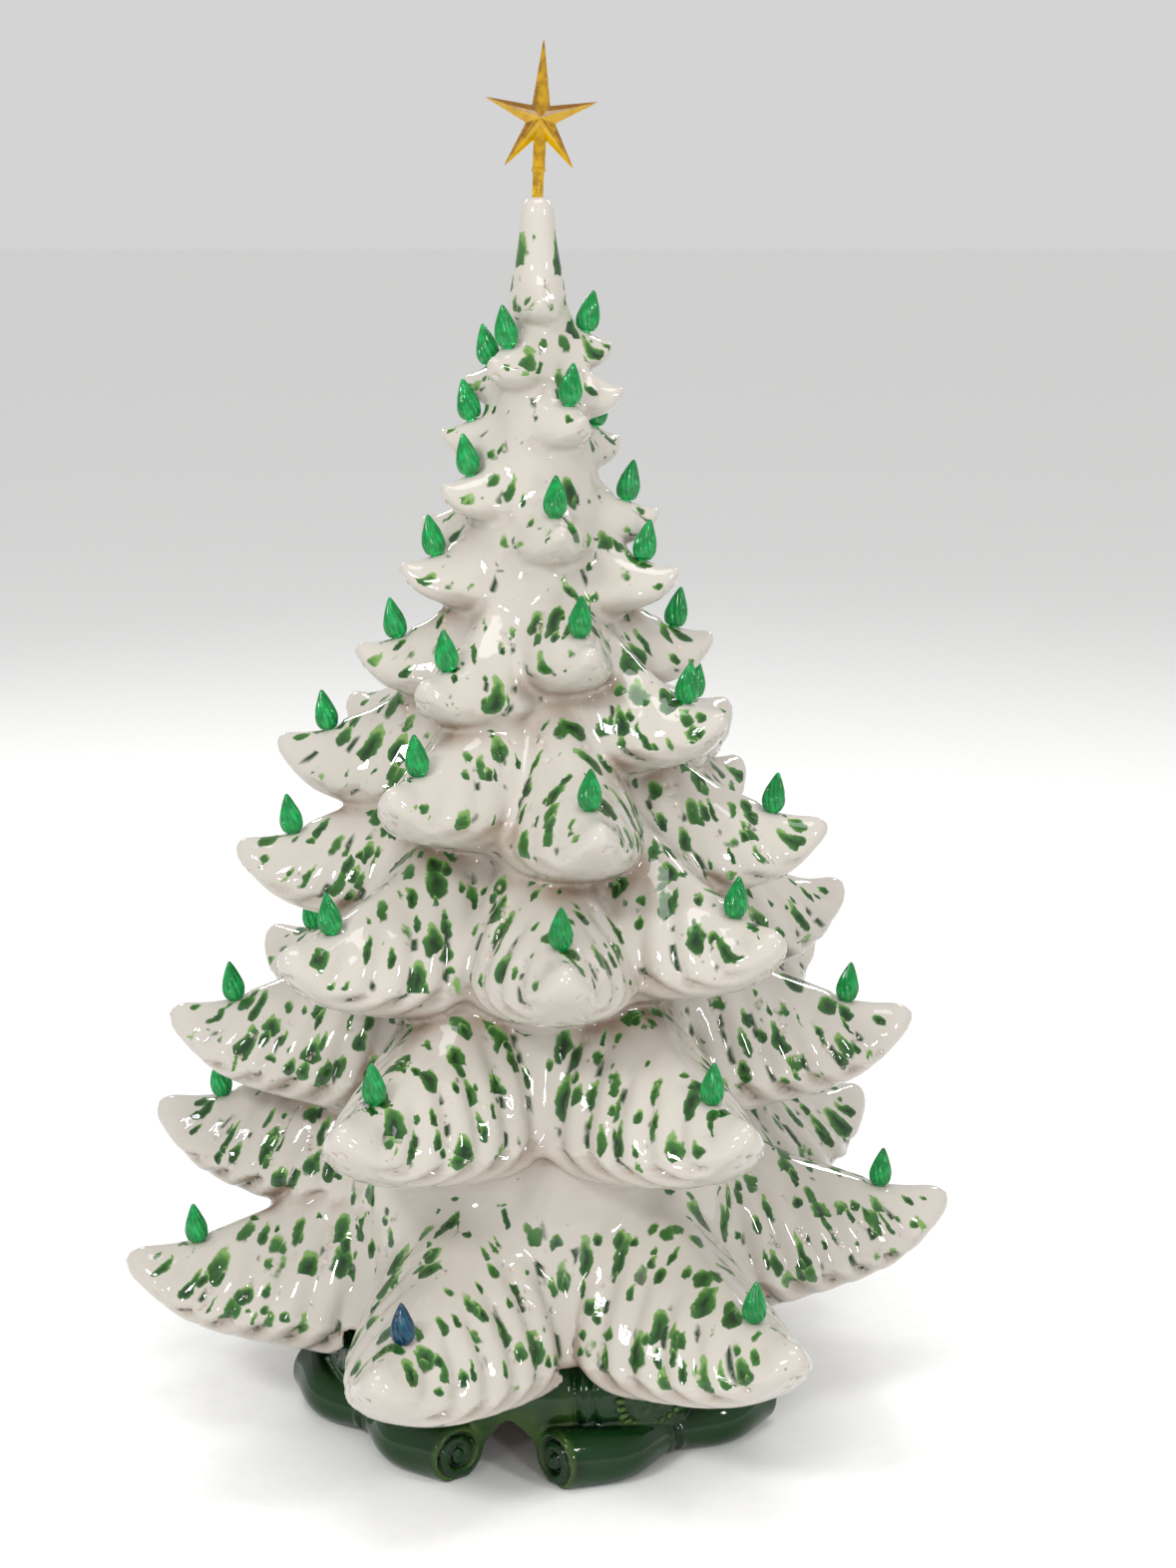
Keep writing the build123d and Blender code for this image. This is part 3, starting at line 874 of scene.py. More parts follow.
def lathe(outline: list[tuple[float, float]], around: int, place: Matrix,
          first: int = 0) -> tuple[np.ndarray, list[list[int]]]:
    """Closed turned form from (radius, height) points, whose first and last points are on the axis.

    Args:
        outline: points from the bottom to the top.
        around: faces in one turn.
        place: where the form's axis and origin go.
        first: number of the form's first vertex.

    Returns:
        Vertex rows and face rows.
    """
    angle = np.arange(around) * 2 * math.pi / around
    circle = np.stack([np.cos(angle), np.sin(angle), np.zeros(around)], axis=1)
    rings = [radius * circle + (0, 0, height) for radius, height in outline[1:-1]]
    poles = [(0, 0, outline[0][1]), (0, 0, outline[-1][1])]
    rows = np.concatenate([*rings, poles])
    bottom, top = first + len(rows) - 2, first + len(rows) - 1
    here = first + np.arange(around)
    after = np.roll(here, -1)
    last = (len(rings) - 1) * around
    faces = []
    for low in range(0, last, around):
        high = low + around
        faces += np.stack([low + here, low + after, high + after, high + here], axis=1).tolist()
    faces += np.stack([np.full(around, bottom), after, here], axis=1).tolist()
    faces += np.stack([np.full(around, top), last + here, last + after], axis=1).tolist()
    turn = np.array(place)
    return rows @ turn[:3, :3].T + turn[:3, 3], faces


@dataclass
class Form:
    """What a branch is like at some places: its distance, and where each place lies on it."""

    distance: np.ndarray
    groove: np.ndarray
    phase: np.ndarray
    angle: np.ndarray
    root: np.ndarray


@dataclass(frozen=True)
class Branch:
    """One pointed branch with fingers that run down its sides."""

    name: str
    azimuth: float
    rise: float
    rim: float = 0.052
    top: float = 0.472
    pitch: float = 0.015

    REACH = np.array([
        (0.0, 0.1836), (0.038, 0.1836), (0.068, 0.176), (0.122, 0.163), (0.189, 0.139), (0.212, 0.124),
        (0.245, 0.113), (0.288, 0.076), (0.320, 0.061), (0.352, 0.048), (0.389, 0.038), (0.412, 0.033),
        (0.434, 0.024),
    ])
    CREST_RISE = 0.6
    CREST_START = (0.6, 0.9)
    WIDEST = 0.38
    ROUNDNESS = (1.5, 2.2)
    SLANT = 0.95
    FINGER_TOP = (0.25, 0.75)
    FINGER_END = (1.9, 2.6)
    FINGER_TIP = (0.18, 0.38)
    FINGER_ROOT = (0.8, 1.0)
    FINGERS = {"a": 0.0032, "b": 0.0032, "c": 0.0032, "d": 0.0026, "e": 0.002, "f": 0.001, "g": 0.0005}
    WIDTH = Curve([(0, 0), (0.187, 0.21), (0.387, 0.50), (0.574, 0.80), (0.742, 1.0), (1.0, 1.0)])
    HEIGHT = Curve([(0, 0), (0.187, 0.22), (0.387, 0.46), (0.574, 0.74), (0.742, 1.0), (1.0, 1.0)])
    DROP = Curve([
        (0, 0), (0.187, 0.08), (0.387, 0.28), (0.574, 0.26), (0.742, 0.20), (0.894, 0.10), (1.0, 0.05),
    ])

    @property
    def tip(self) -> float:
        """Height of the tip above the table."""
        return self.rim + self.rise

    @property
    def reach(self) -> float:
        """Distance of the tip from the tree's axis."""
        return float(np.interp(self.rise, self.REACH[:, 0], self.REACH[:, 1]))

    @property
    def half_width(self) -> float:
        """Half the width of the root."""
        return 0.25 * self.reach + 0.003

    @property
    def half_height(self) -> float:
        """Half the height of the root."""
        return (0.74 + 0.26 * self.rise / self.top) * self.half_width

    def corners(self, margin: float = 0.01) -> tuple[np.ndarray, np.ndarray]:
        """Lowest and highest corner of a box around the branch."""
        east, north = facing(self.azimuth)
        side = np.array([-north, east]) * self.half_width
        tip = np.array([east, north]) * self.reach
        spread = np.array([side, -side, tip + side, tip - side])
        low = [*spread.min(axis=0), self.tip - 1.3 * self.half_height]
        high = [*spread.max(axis=0), self.tip + 1.6 * self.half_height]
        return np.array(low) - margin, np.array(high) + margin

    def form(self, x: np.ndarray, y: np.ndarray, z: np.ndarray) -> Form:
        """The branch's form at some places.

        Args:
            x: coordinates along X in metres.
            y: coordinates along Y.
            z: heights above the table.

        Returns:
            Distance and place on the branch.
        """
        out, offset = towards(self.azimuth, x, y)
        root = np.sqrt(np.clip(1 - out / self.reach, 0, 1))
        wide = self.half_width * self.WIDTH(root) + TINY
        tall = self.half_height * self.HEIGHT(root) + TINY
        middle = self.tip - self.half_height * self.DROP(root)
        crest = middle + tall * (1 + self.CREST_RISE * smoothstep(*self.CREST_START, root))
        level = middle - self.WIDEST * tall
        above = z > level
        span = np.where(above, crest - level, level - (middle - tall))
        high = np.abs(z - level) / span
        side = np.abs(offset) / wide
        power = np.where(above, *self.ROUNDNESS)
        size = np.maximum((side**power + high**power) ** (1 / power), 0.02)
        steep = np.sqrt((side / size / wide) ** 2 + (high / size / span) ** 2)
        distance = (size - 1) / np.maximum(steep, 1 / span)
        angle = np.arctan2(side, np.where(above, high, -high))
        start = math.sin(self.azimuth * 7.3 + self.rise * 900) * 0.5 + np.sign(offset) * 0.17
        phase = (self.reach - out) / self.pitch + self.SLANT * angle + start
        ridge = np.sqrt(np.sin(math.pi * phase) ** 2 + 0.03) / 1.015
        fade = smoothstep(*self.FINGER_TOP, angle) * (1 - smoothstep(*self.FINGER_END, angle))
        fade = fade * smoothstep(*self.FINGER_TIP, root) * (1 - 0.3 * smoothstep(*self.FINGER_ROOT, root))
        groove = fade * (1 - ridge)
        distance = distance + self.FINGERS.get(self.name[0], 0.0) * groove
        past = out - self.reach
        distance = np.where(past > 0, np.hypot(np.maximum(distance, 0), past), np.maximum(distance, past))
        return Form(np.maximum(distance, -out), groove, phase, angle, root)


@dataclass
class Tree:
    """The glazed tree: one hollow shell of a trunk and its branches, with a hole for every light."""

    step: float = 0.002
    wall: float = 0.0045
    rim: float = 0.052
    top: float = 0.524
    mouth: float = 0.070
    room: float = 0.1022
    hole_radius: float = 0.00265
    hole_depth: float = 0.016
    hole_above: float = 0.004
    way_radius: float = 0.0056
    way_height: float = 0.026
    way_fillet: float = 0.002
    star_hole_radius: float = 0.0027
    star_hole_depth: float = 0.013
    star_hole_above: float = 0.01
    inner_share: float = 0.8
    fillet: float = 0.003
    sharp: float = 60.0

    BOX = ((-0.188, -0.188, 0.022), (0.188, 0.188, 0.530))
    HOLLOW_DEPTHS = (0.003, 0.008, 0.02)
    DAUB_TOP = (0.012, 0.005)
    DAUB_TIP = (0.16, 0.30)
    DAUB_SIDE = (1.5, 2.0)

    TIERS = {
        "a": ((-79, 21), (-20, 24), (35, 25), (94, 32), (155, 26), (-138, 23)),
        "b": ((-97, 72), (122, 54), (-165, 64)),
        "c": ((-87, 124), (-28, 115), (31, 114), (88, 123), (127, 134), (-125, 134), (176, 122)),
        "d": ((-45, 175), (5, 178), (44, 182), (111, 166), (168, 176), (-140, 174)),
        "e": ((-82, 201), (80, 211), (131, 218), (-165, 212)),
        "f": ((-92, 243), (-31, 240), (13, 229), (53, 264), (130, 247), (-126, 251), (172, 248)),
        "g": ((-84, 285), (-34, 279), (18, 293), (101, 287), (150, 283), (-142, 290)),
        "h": ((-74, 321), (74, 319), (11, 340), (160, 326)),
        "i": ((-58, 355), (98, 342), (-110, 337), (-168, 352)),
        "j": ((-90, 376), (30, 384), (126, 372), (-135, 380)),
        "k": ((-119, 398), (-34, 407), (78, 394), (165, 400)),
        "l": ((107, 412), (4, 431), (-160, 424)),
    }
    TRUNK = Curve([
        (0.052, 0.088), (0.072, 0.090), (0.170, 0.076), (0.240, 0.062), (0.300, 0.046), (0.340, 0.036),
        (0.400, 0.026), (0.450, 0.0165), (0.464, 0.0145), (0.481, 0.0125), (0.493, 0.0103), (0.508, 0.0078),
        (0.518, 0.0070), (0.522, 0.0058), (0.524, 0.0044),
    ])

    def __post_init__(self) -> None:
        """Lists the branches."""
        self.branches = [
            Branch(f"{tier}{number}", azimuth, height / 1000)
            for tier, row in self.TIERS.items()
            for number, (azimuth, height) in enumerate(row, 1)
        ]

    def outside(self, seats: list[Matrix]) -> Clay:
        """The tree's outer form as clay, before it is made hollow.

        Args:
            seats: where the lights sit.

        Returns:
            The clay.
        """
        clay = Clay(*self.BOX, self.step)
        x, y, z = clay.whole()
        trunk = np.hypot(x, y) - self.TRUNK(z)
        clay.values[:] = np.maximum(np.maximum(trunk, z - self.top), self.rim - z)
        for branch in self.branches:
            window = clay.window(*branch.corners())
            fillet = self.fillet + self.fillet * (1 - branch.rise / branch.top)
            clay.add(window, branch.form(*clay.points(window)).distance, fillet)
        room = np.maximum(np.hypot(x, y) - self.room, z - self.rim)
        clay.values = blend_max(clay.values, -room, self.fillet).astype(np.float32)
        for seat in seats:
            middle = np.array(seat @ Vector((0, 0, self.way_height / 2)))
            window = clay.window(middle - self.way_height, middle + self.way_height)
            back = np.array(seat.inverted())
            x, y, z = clay.points(window)
            local = [back[i, 0] * x + back[i, 1] * y + back[i, 2] * z + back[i, 3] for i in range(3)]
            way = np.maximum(np.hypot(local[0], local[1]) - self.way_radius, -local[2])
            way = np.maximum(way, local[2] - self.way_height)
            clay.values[window] = blend_max(clay.values[window], -way, self.way_fillet)
        return clay

    def cutters(self, seats: list[Matrix], star_seat: Matrix) -> bpy.types.Object:
        """Rods that make the holes for the lights and for the star's pin."""
        rods = [(seat, self.hole_radius, self.hole_depth, self.hole_above) for seat in seats]
        rods.append((star_seat, self.star_hole_radius, self.star_hole_depth, self.star_hole_above))
        vertices, faces, total = [], [], 0
        for seat, radius, depth, above in rods:
            outline = [(0, -depth), (radius, -depth), (radius, above), (0, above)]
            rows, sides = lathe(outline, ROD_FACES, seat, total)
            vertices.append(rows)
            faces += sides
            total += len(rows)
        return mesh_object("hole_cutters", np.concatenate(vertices), faces)

    def mark(self, piece: bpy.types.Object, clay: Clay, outer: np.ndarray) -> None:
        """Stores on the tree what its finish needs to know about each vertex.

        Args:
            piece: the finished mesh.
            clay: the clay, for its sample points.
            outer: the outer form's field.
        """
        places = places_of(piece)
        normal = unit(clay.slope(places, outer))
        best = np.full(len(places), FAR)
        turn = np.zeros((len(places), 3))
        groove = np.zeros(len(places))
        start, end = (self.top - below for below in self.DAUB_TOP)
        daubed = 1 - smoothstep(start, end, places[:, 2])
        for branch in self.branches:
            low, high = branch.corners()
            near = np.nonzero(np.all((places > low) & (places < high), axis=1))[0]
            form = branch.form(*places[near].T)
            nearer = form.distance < best[near]
            chosen = near[nearer]
            best[chosen] = form.distance[nearer]
            ahead = [branch.form(*(places[chosen] + self.step * axis).T).phase for axis in np.eye(3)]
            turn[chosen] = np.array(ahead).T - form.phase[nearer][:, None]
            groove[chosen] = form.groove[nearer]
            shown = smoothstep(*self.DAUB_TIP, form.root) * (1 - smoothstep(*self.DAUB_SIDE, form.angle))
            daubed[chosen] = shown[nearer]
        downhill = normal * normal[:, 2:] - np.array([0, 0, 1])
        flow = np.where(best[:, None] < FAR, np.cross(normal, turn), downhill)
        flow = unit(flow) * np.where(flow[:, 2] > 0, -1, 1)[:, None]
        hollow = clay.crowding(places, normal, self.HOLLOW_DEPTHS, outer)
        store(piece, "flow", flow)
        store(piece, "outward", normal)
        store(piece, "groove", groove)
        store(piece, "daubed", daubed)
        store(piece, "hollow", hollow)
        store(piece, "inside", (clay.sample(places, outer) < -self.wall / 2).astype(float))

    def build(self, seats: list[Matrix], star_seat: Matrix) -> None:
        """Makes the tree.

        Args:
            seats: where the lights sit.
            star_seat: where the star's pin goes in.
        """
        clay = self.outside(seats)
        outer = clay.values
        x, y, z = clay.whole()
        shell = np.maximum(outer, -outer - self.wall)
        mouth = np.maximum(np.hypot(x, y) - self.mouth, z - self.rim - 2 * self.wall)
        clay.values = np.maximum(shell, -mouth).astype(np.float32)
        piece = mesh_object("glazed_tree", *clay.skin(), Paint.WHITE_GLAZE)
        thin_inside(piece, clay.sample(places_of(piece), outer) < -self.wall * self.inner_share)
        carve(piece, self.cutters(seats, star_seat))
        thin(piece, TRIANGLE_LIMIT / triangles_of(piece))
        smooth(piece.data, self.sharp)
        self.mark(piece, clay, outer)
        settle(piece, "tree", "white_glaze", "tree_shell")


def arc_through(first: tuple, second: tuple, third: tuple) -> tuple[float, float, float]:
    """Centre (radius and height) and radius of the arc through three (radius, height) points."""
    rows = np.array([first, second, third])
    sums = (rows**2).sum(axis=1)
    matrix = 2 * (rows[1:] - rows[0])
    centre = np.linalg.solve(matrix, sums[1:] - sums[0])
    return float(centre[0]), float(centre[1]), float(np.linalg.norm(rows[0] - centre))


@dataclass
class Base:
    """The green base: an upturned bowl on four rolled scrolls, with a beaded medallion on each side."""

    step: float = 0.001
    height: float = 0.052
    wall: float = 0.006
    inner_share: float = 0.6
    fillet: float = 0.001
    soft_edge: float = 0.003
    edge: tuple[float, float] = (0.093, 0.019)
    bulge: tuple[float, float] = (0.097, 0.031)
    top: tuple[float, float] = (0.085, 0.052)
    skirt_top: float = 0.0205
    skirt_slope: float = 0.35
    skirt_radius: float = 0.084
    skirt_share: float = 0.9
    gap_azimuth: float = -7.6
    half_length: float = 0.057
    end_radius: float = 0.0128
    end_distance: float = 0.0842
    flare: float = 2.2
    scroll_fillet: float = 0.0025
    waist_radius: float = 0.0076
    waist_distance: float = 0.089
    waist_height: float = 0.0102
    belly: float = 0.005
    foot_flat: float = 0.0008
    foot_start: float = 0.06
    collar_radius: float = 0.0094
    collar_width: float = 0.004
    collar_gap: float = 0.0022
    volute_pitch: float = 0.0058
    volute_depth: float = 0.0024
    volute_line: tuple[float, float] = (0.52, 0.86)
    volute_start: tuple[float, float] = (0.25, 0.6)
    volute_end: tuple[float, float] = (0.80, 0.94)
    medallion_height: float = 0.034
    medallion_turn: float = -8.0
    medallion_relief: float = 0.0016
    medallion_rings: tuple[float, float, float] = (0.033, 0.0265, 0.0115)
    medallion_shares: tuple[float, float] = (0.8, 0.4)
    medallion_edge: float = 0.001
    line_depth: float = 0.0016
    line_width: float = 0.0011
    dish_depth: float = 0.0010
    dish_edge: float = 0.0015
    flower_height: float = 0.0012
    petal_width: float = 0.003
    petal_count: int = 6
    bead_ring: float = 0.016
    bead_count: int = 26
    bead_faces: tuple[int, int] = (10, 6)
    bead_size: tuple[float, float, float] = (0.00265, 0.0017, 0.0014)
    bead_lift: float = 1.2
    bead_dark: float = 0.0008
    bead_light: float = 0.0015
    arch_top: float = 0.0245
    arch_round: float = 0.004
    arch_spread: float = 0.6
    arch_share: float = 0.8
    arch_fillet: float = 0.004
    spigot: tuple[float, float, float] = (0.0635, 0.0685, 0.058)
    spigot_sink: float = 0.002
    deck_hole: float = 0.0051
    deck_hole_low: float = 0.04
    inlet_height: float = 0.031
    inlet_face: float = 0.0985
    inlet_length: float = 0.014
    inlet_boss: float = 0.0095
    inlet_hole: float = 0.0056
    inlet_start: float = 0.07
    inlet_fillet: float = 0.002

    BOX = ((-0.111, -0.111, -0.003), (0.111, 0.111, 0.062))
    HOLLOW_DEPTHS = (0.0015, 0.003, 0.006)

    def bowl(self, radius: np.ndarray, z: np.ndarray, inset: float, deck: float,
             relief: np.ndarray | float = 0.0) -> np.ndarray:
        """Distance to the bowl's solid form.

        Args:
            radius: distance from the axis.
            z: height above the table.
            inset: how far the wall is drawn in.
            deck: height of the flat top.
            relief: how far the wall is raised at each place.

        Returns:
            Distances, negative inside.
        """
        profile = [self.edge, self.bulge, (self.top[0], deck)]
        across, up, size = arc_through(*[(wide - inset, level) for wide, level in profile])
        side = np.hypot(np.maximum(radius - across, 0), z - up) - size
        start = across + math.sqrt(size**2 - (self.skirt_top - up) ** 2)
        skirt = np.maximum(start - self.skirt_slope * (self.skirt_top - z), self.skirt_radius - inset)
        wall = np.where(z < self.skirt_top, (radius - skirt) * self.skirt_share, side)
        return blend_max(wall - relief, z - deck, self.soft_edge)

    def sides(self) -> list[float]:
        """Azimuths of the four sides, each with a scroll and a medallion."""
        return [self.gap_azimuth + 45 + 90 * k for k in range(4)]

    def roll(self, out: np.ndarray, side: np.ndarray, z: np.ndarray) -> np.ndarray:
        """Distance to one scroll with its volutes and collars.

        Args:
            out: distance outwards from the axis.
            side: distance along the scroll from its middle.
            z: height above the table.

        Returns:
            Distances, negative inside.
        """
        reach = np.abs(side)
        share = np.clip(reach / self.half_length, 0, 1)
        radius = self.waist_radius + (self.end_radius - self.waist_radius) * (1 - (1 - share) ** self.flare)
        middle = self.waist_distance + (self.end_distance - self.waist_distance) * share**2
        middle = middle + self.belly * np.sin(math.pi * share) ** 2
        level = self.waist_height + (self.end_radius - self.foot_flat - self.waist_height) * share**2
        across, up = out - middle, z - level
        spread = np.hypot(across, up)
        barrel = spread - radius
        turn = np.arctan2(up, across) / (2 * math.pi)
        spiral = np.abs((spread / self.volute_pitch + turn + 0.25) % 1 - 0.5) * 2
        groove = smoothstep(*self.volute_line, spiral)
        groove = groove * smoothstep(*self.volute_start, spread / self.volute_pitch)
        groove = groove * (1 - smoothstep(*self.volute_end, spread / self.end_radius))
        end = reach - self.half_length + self.volute_depth * groove
        form = blend_max(barrel, end, self.soft_edge)
        collar = np.hypot(out - self.waist_distance, z - self.waist_height) - self.collar_radius
        away = np.abs(reach - (self.collar_gap + self.collar_width) / 2) - self.collar_width / 2
        return blend_min(form, blend_max(collar, away, self.soft_edge), self.fillet)

    def medallion(self, out: np.ndarray, side: np.ndarray, z: np.ndarray) -> np.ndarray:
        """How much one medallion is raised over the bowl, from (out, side, z) places."""
        spread = np.hypot(side, z - self.medallion_height)
        outer, middle, inner = self.medallion_rings
        raised = 0.0
        for ring, share in zip((outer, middle), self.medallion_shares):
            step = 1 - smoothstep(ring - self.medallion_edge, ring + self.medallion_edge, spread)
            raised = raised + step * self.medallion_relief * share
        for ring in (outer, middle):
            raised = raised - self.line_depth * hump(spread, ring, self.line_width)
        raised = raised - self.dish_depth * (1 - smoothstep(inner, inner + self.dish_edge, spread))
        raised = raised + self.flower_height * hump(spread, inner, self.line_width)
        petals = np.cos(self.petal_count * np.arctan2(z - self.medallion_height, side)) * 0.5 + 0.5
        raised = raised + self.flower_height * petals * hump(spread, inner * 0.5, self.petal_width)
        return raised * (out > 0)

    def shape(self) -> tuple[Clay, np.ndarray]:
        """The base as clay, and its outer form's field without the hollow."""
        clay = Clay(*self.BOX, self.step)
        x, y, z = clay.whole()
        radius = np.hypot(x, y)
        relief = np.zeros(clay.values.shape, np.float32)
        for azimuth in self.sides():
            raised = self.medallion(*towards(azimuth + self.medallion_turn, x, y), z)
            relief = np.where(np.abs(raised) > np.abs(relief), raised, relief)
        form = np.maximum(self.bowl(radius, z, 0.0, self.height, relief), -z)
        clay.values[:] = form
        hollow = self.bowl(radius, z, self.wall, self.height - self.wall)
        for k in range(4):
            out, side = towards(self.gap_azimuth + 90 * k, x, y)
            arch = np.hypot(side, self.arch_round) - self.arch_spread * (self.arch_top - z)
            arch = np.maximum((arch - self.arch_round) * self.arch_share, self.foot_start - out)
            clay.values = blend_max(clay.values, -arch, self.arch_fillet)
        for azimuth in self.sides():
            out, side = towards(azimuth, x, y)
            form = np.maximum(self.roll(out, side, z), self.foot_start - out)
            clay.values = blend_min(clay.values, form, self.scroll_fillet)
        clay.values = np.maximum(clay.values, -z)
        outer = clay.values.astype(np.float32)
        inner, rim, tall = self.spigot
        band = np.maximum(radius - rim, inner - radius)
        ring = np.maximum(band, np.maximum(z - tall, self.height - self.spigot_sink - z))
        clay.values = blend_min(np.maximum(clay.values, -hollow), ring, self.fillet)
        out, side = towards(self.gap_azimuth + 180, x, y)
        inlet = np.hypot(side, z - self.inlet_height)
        reach = np.maximum(out - self.inlet_face, self.inlet_face - self.inlet_length - out)
        boss = blend_max(inlet - self.inlet_boss, reach, self.fillet)
        clay.values = blend_min(clay.values, boss, self.inlet_fillet)
        inlet_hole = np.maximum(inlet - self.inlet_hole, self.inlet_start - out)
        deck_hole = np.maximum(radius - self.deck_hole, self.deck_hole_low - z)
        clay.values = np.maximum(clay.values, -np.minimum(inlet_hole, deck_hole)).astype(np.float32)
        return clay, outer

    def build(self) -> None:
        """Makes the base."""
        clay, outer = self.shape()
        piece = mesh_object("glazed_base", *clay.skin(), Paint.GREEN_GLAZE)
        thin_inside(piece, self.within(places_of(piece), clay, outer))
        thin(piece, TRIANGLE_LIMIT / triangles_of(piece))
        self.mark(piece, clay, outer)
        settle(piece, "base", "green_glaze", "base_shell")

    def within(self, places: np.ndarray, clay: Clay, outer: np.ndarray) -> np.ndarray:
        """Which places are well inside the outer form, on the unglazed inner wall."""
        return clay.sample(places, outer) < -self.wall * self.inner_share

    def mark(self, piece: bpy.types.Object, clay: Clay, outer: np.ndarray) -> None:
        """Stores where the base is hollowed, raised and unglazed.

        Args:
            piece: the finished mesh.
            clay: the clay, with its whole field.
            outer: the outer form's field.
        """
        places = places_of(piece)
        normal = unit(clay.slope(places))
        store(piece, "hollow", clay.crowding(places, normal, self.HOLLOW_DEPTHS))
        store(piece, "raised", clay.crowding(places, normal, self.HOLLOW_DEPTHS, side=-1))
        store(piece, "inside", self.within(places, clay, outer).astype(float))

    def beads(self) -> None:
        """Makes the rings of beads on the four medallions."""
        flat = self.flat_beads()
        ring = places_of(flat)
        faces = [list(face.vertices) for face in flat.data.polygons]
        bpy.data.objects.remove(flat)
        side, z = ring[:, 0], ring[:, 1] + self.medallion_height
        across, up, size = arc_through(self.edge, self.bulge, self.top)
        lift = self.medallion_relief * self.bead_lift
        radius = across + np.sqrt(size**2 - (z - up) ** 2) + lift + ring[:, 2]
        out = np.sqrt(radius**2 - side**2)
        vertices, all_faces = [], []
        for k, azimuth in enumerate(self.sides()):
            east, north = facing(azimuth + self.medallion_turn)
            vertices.append(np.stack([out * east - side * north, out * north + side * east, z], axis=1))
            all_faces += [[index + len(ring) * k for index in face] for face in faces]
        piece = mesh_object("medallion_beads", np.concatenate(vertices), all_faces, Paint.GREEN_GLAZE)
        height = np.tile(ring[:, 2], len(vertices))
        store(piece, "hollow", np.clip(-height / self.bead_dark, 0, 1))
        store(piece, "raised", np.clip(height / self.bead_light, 0, 1))
        store(piece, "inside", np.zeros(len(height)))
        settle(piece, "base", "green_glaze")

    def flat_beads(self) -> bpy.types.Object:
        """One flat ring of beads, laid out by a node tree."""
        kinds = {"Count": "Int", "Ring": "Float", "Bead": "Vector", "Material": "Material"}
        nodes = Nodes("bead_ring", kinds)
        graph, given = nodes.graph, nodes.given
        inputs = {"Vertices": given["Count"], "Radius": given["Ring"]}
        circle = graph.node("GeometryNodeMeshCircle", {}, inputs)["Mesh"]
        inputs = {"Segments": self.bead_faces[0], "Rings": self.bead_faces[1], "Radius": 1.0}
        bead = graph.node("GeometryNodeMeshUVSphere", {}, inputs)["Mesh"]
        inputs = {"Vector": graph.node("GeometryNodeInputPosition")["Position"]}
        outwards = graph.node("FunctionNodeAlignRotationToVector", {"axis": "X"}, inputs)["Rotation"]
        inputs = {"Points": circle, "Instance": bead, "Rotation": outwards, "Scale": given["Bead"]}
        nodes.close(graph.node("GeometryNodeInstanceOnPoints", {}, inputs)["Instances"])
        return nodes.evaluated("bead_ring_source", {
            "Count": self.bead_count, "Ring": self.bead_ring, "Bead": self.bead_size,
            "Material": Paint.GREEN_GLAZE.material(),
        })


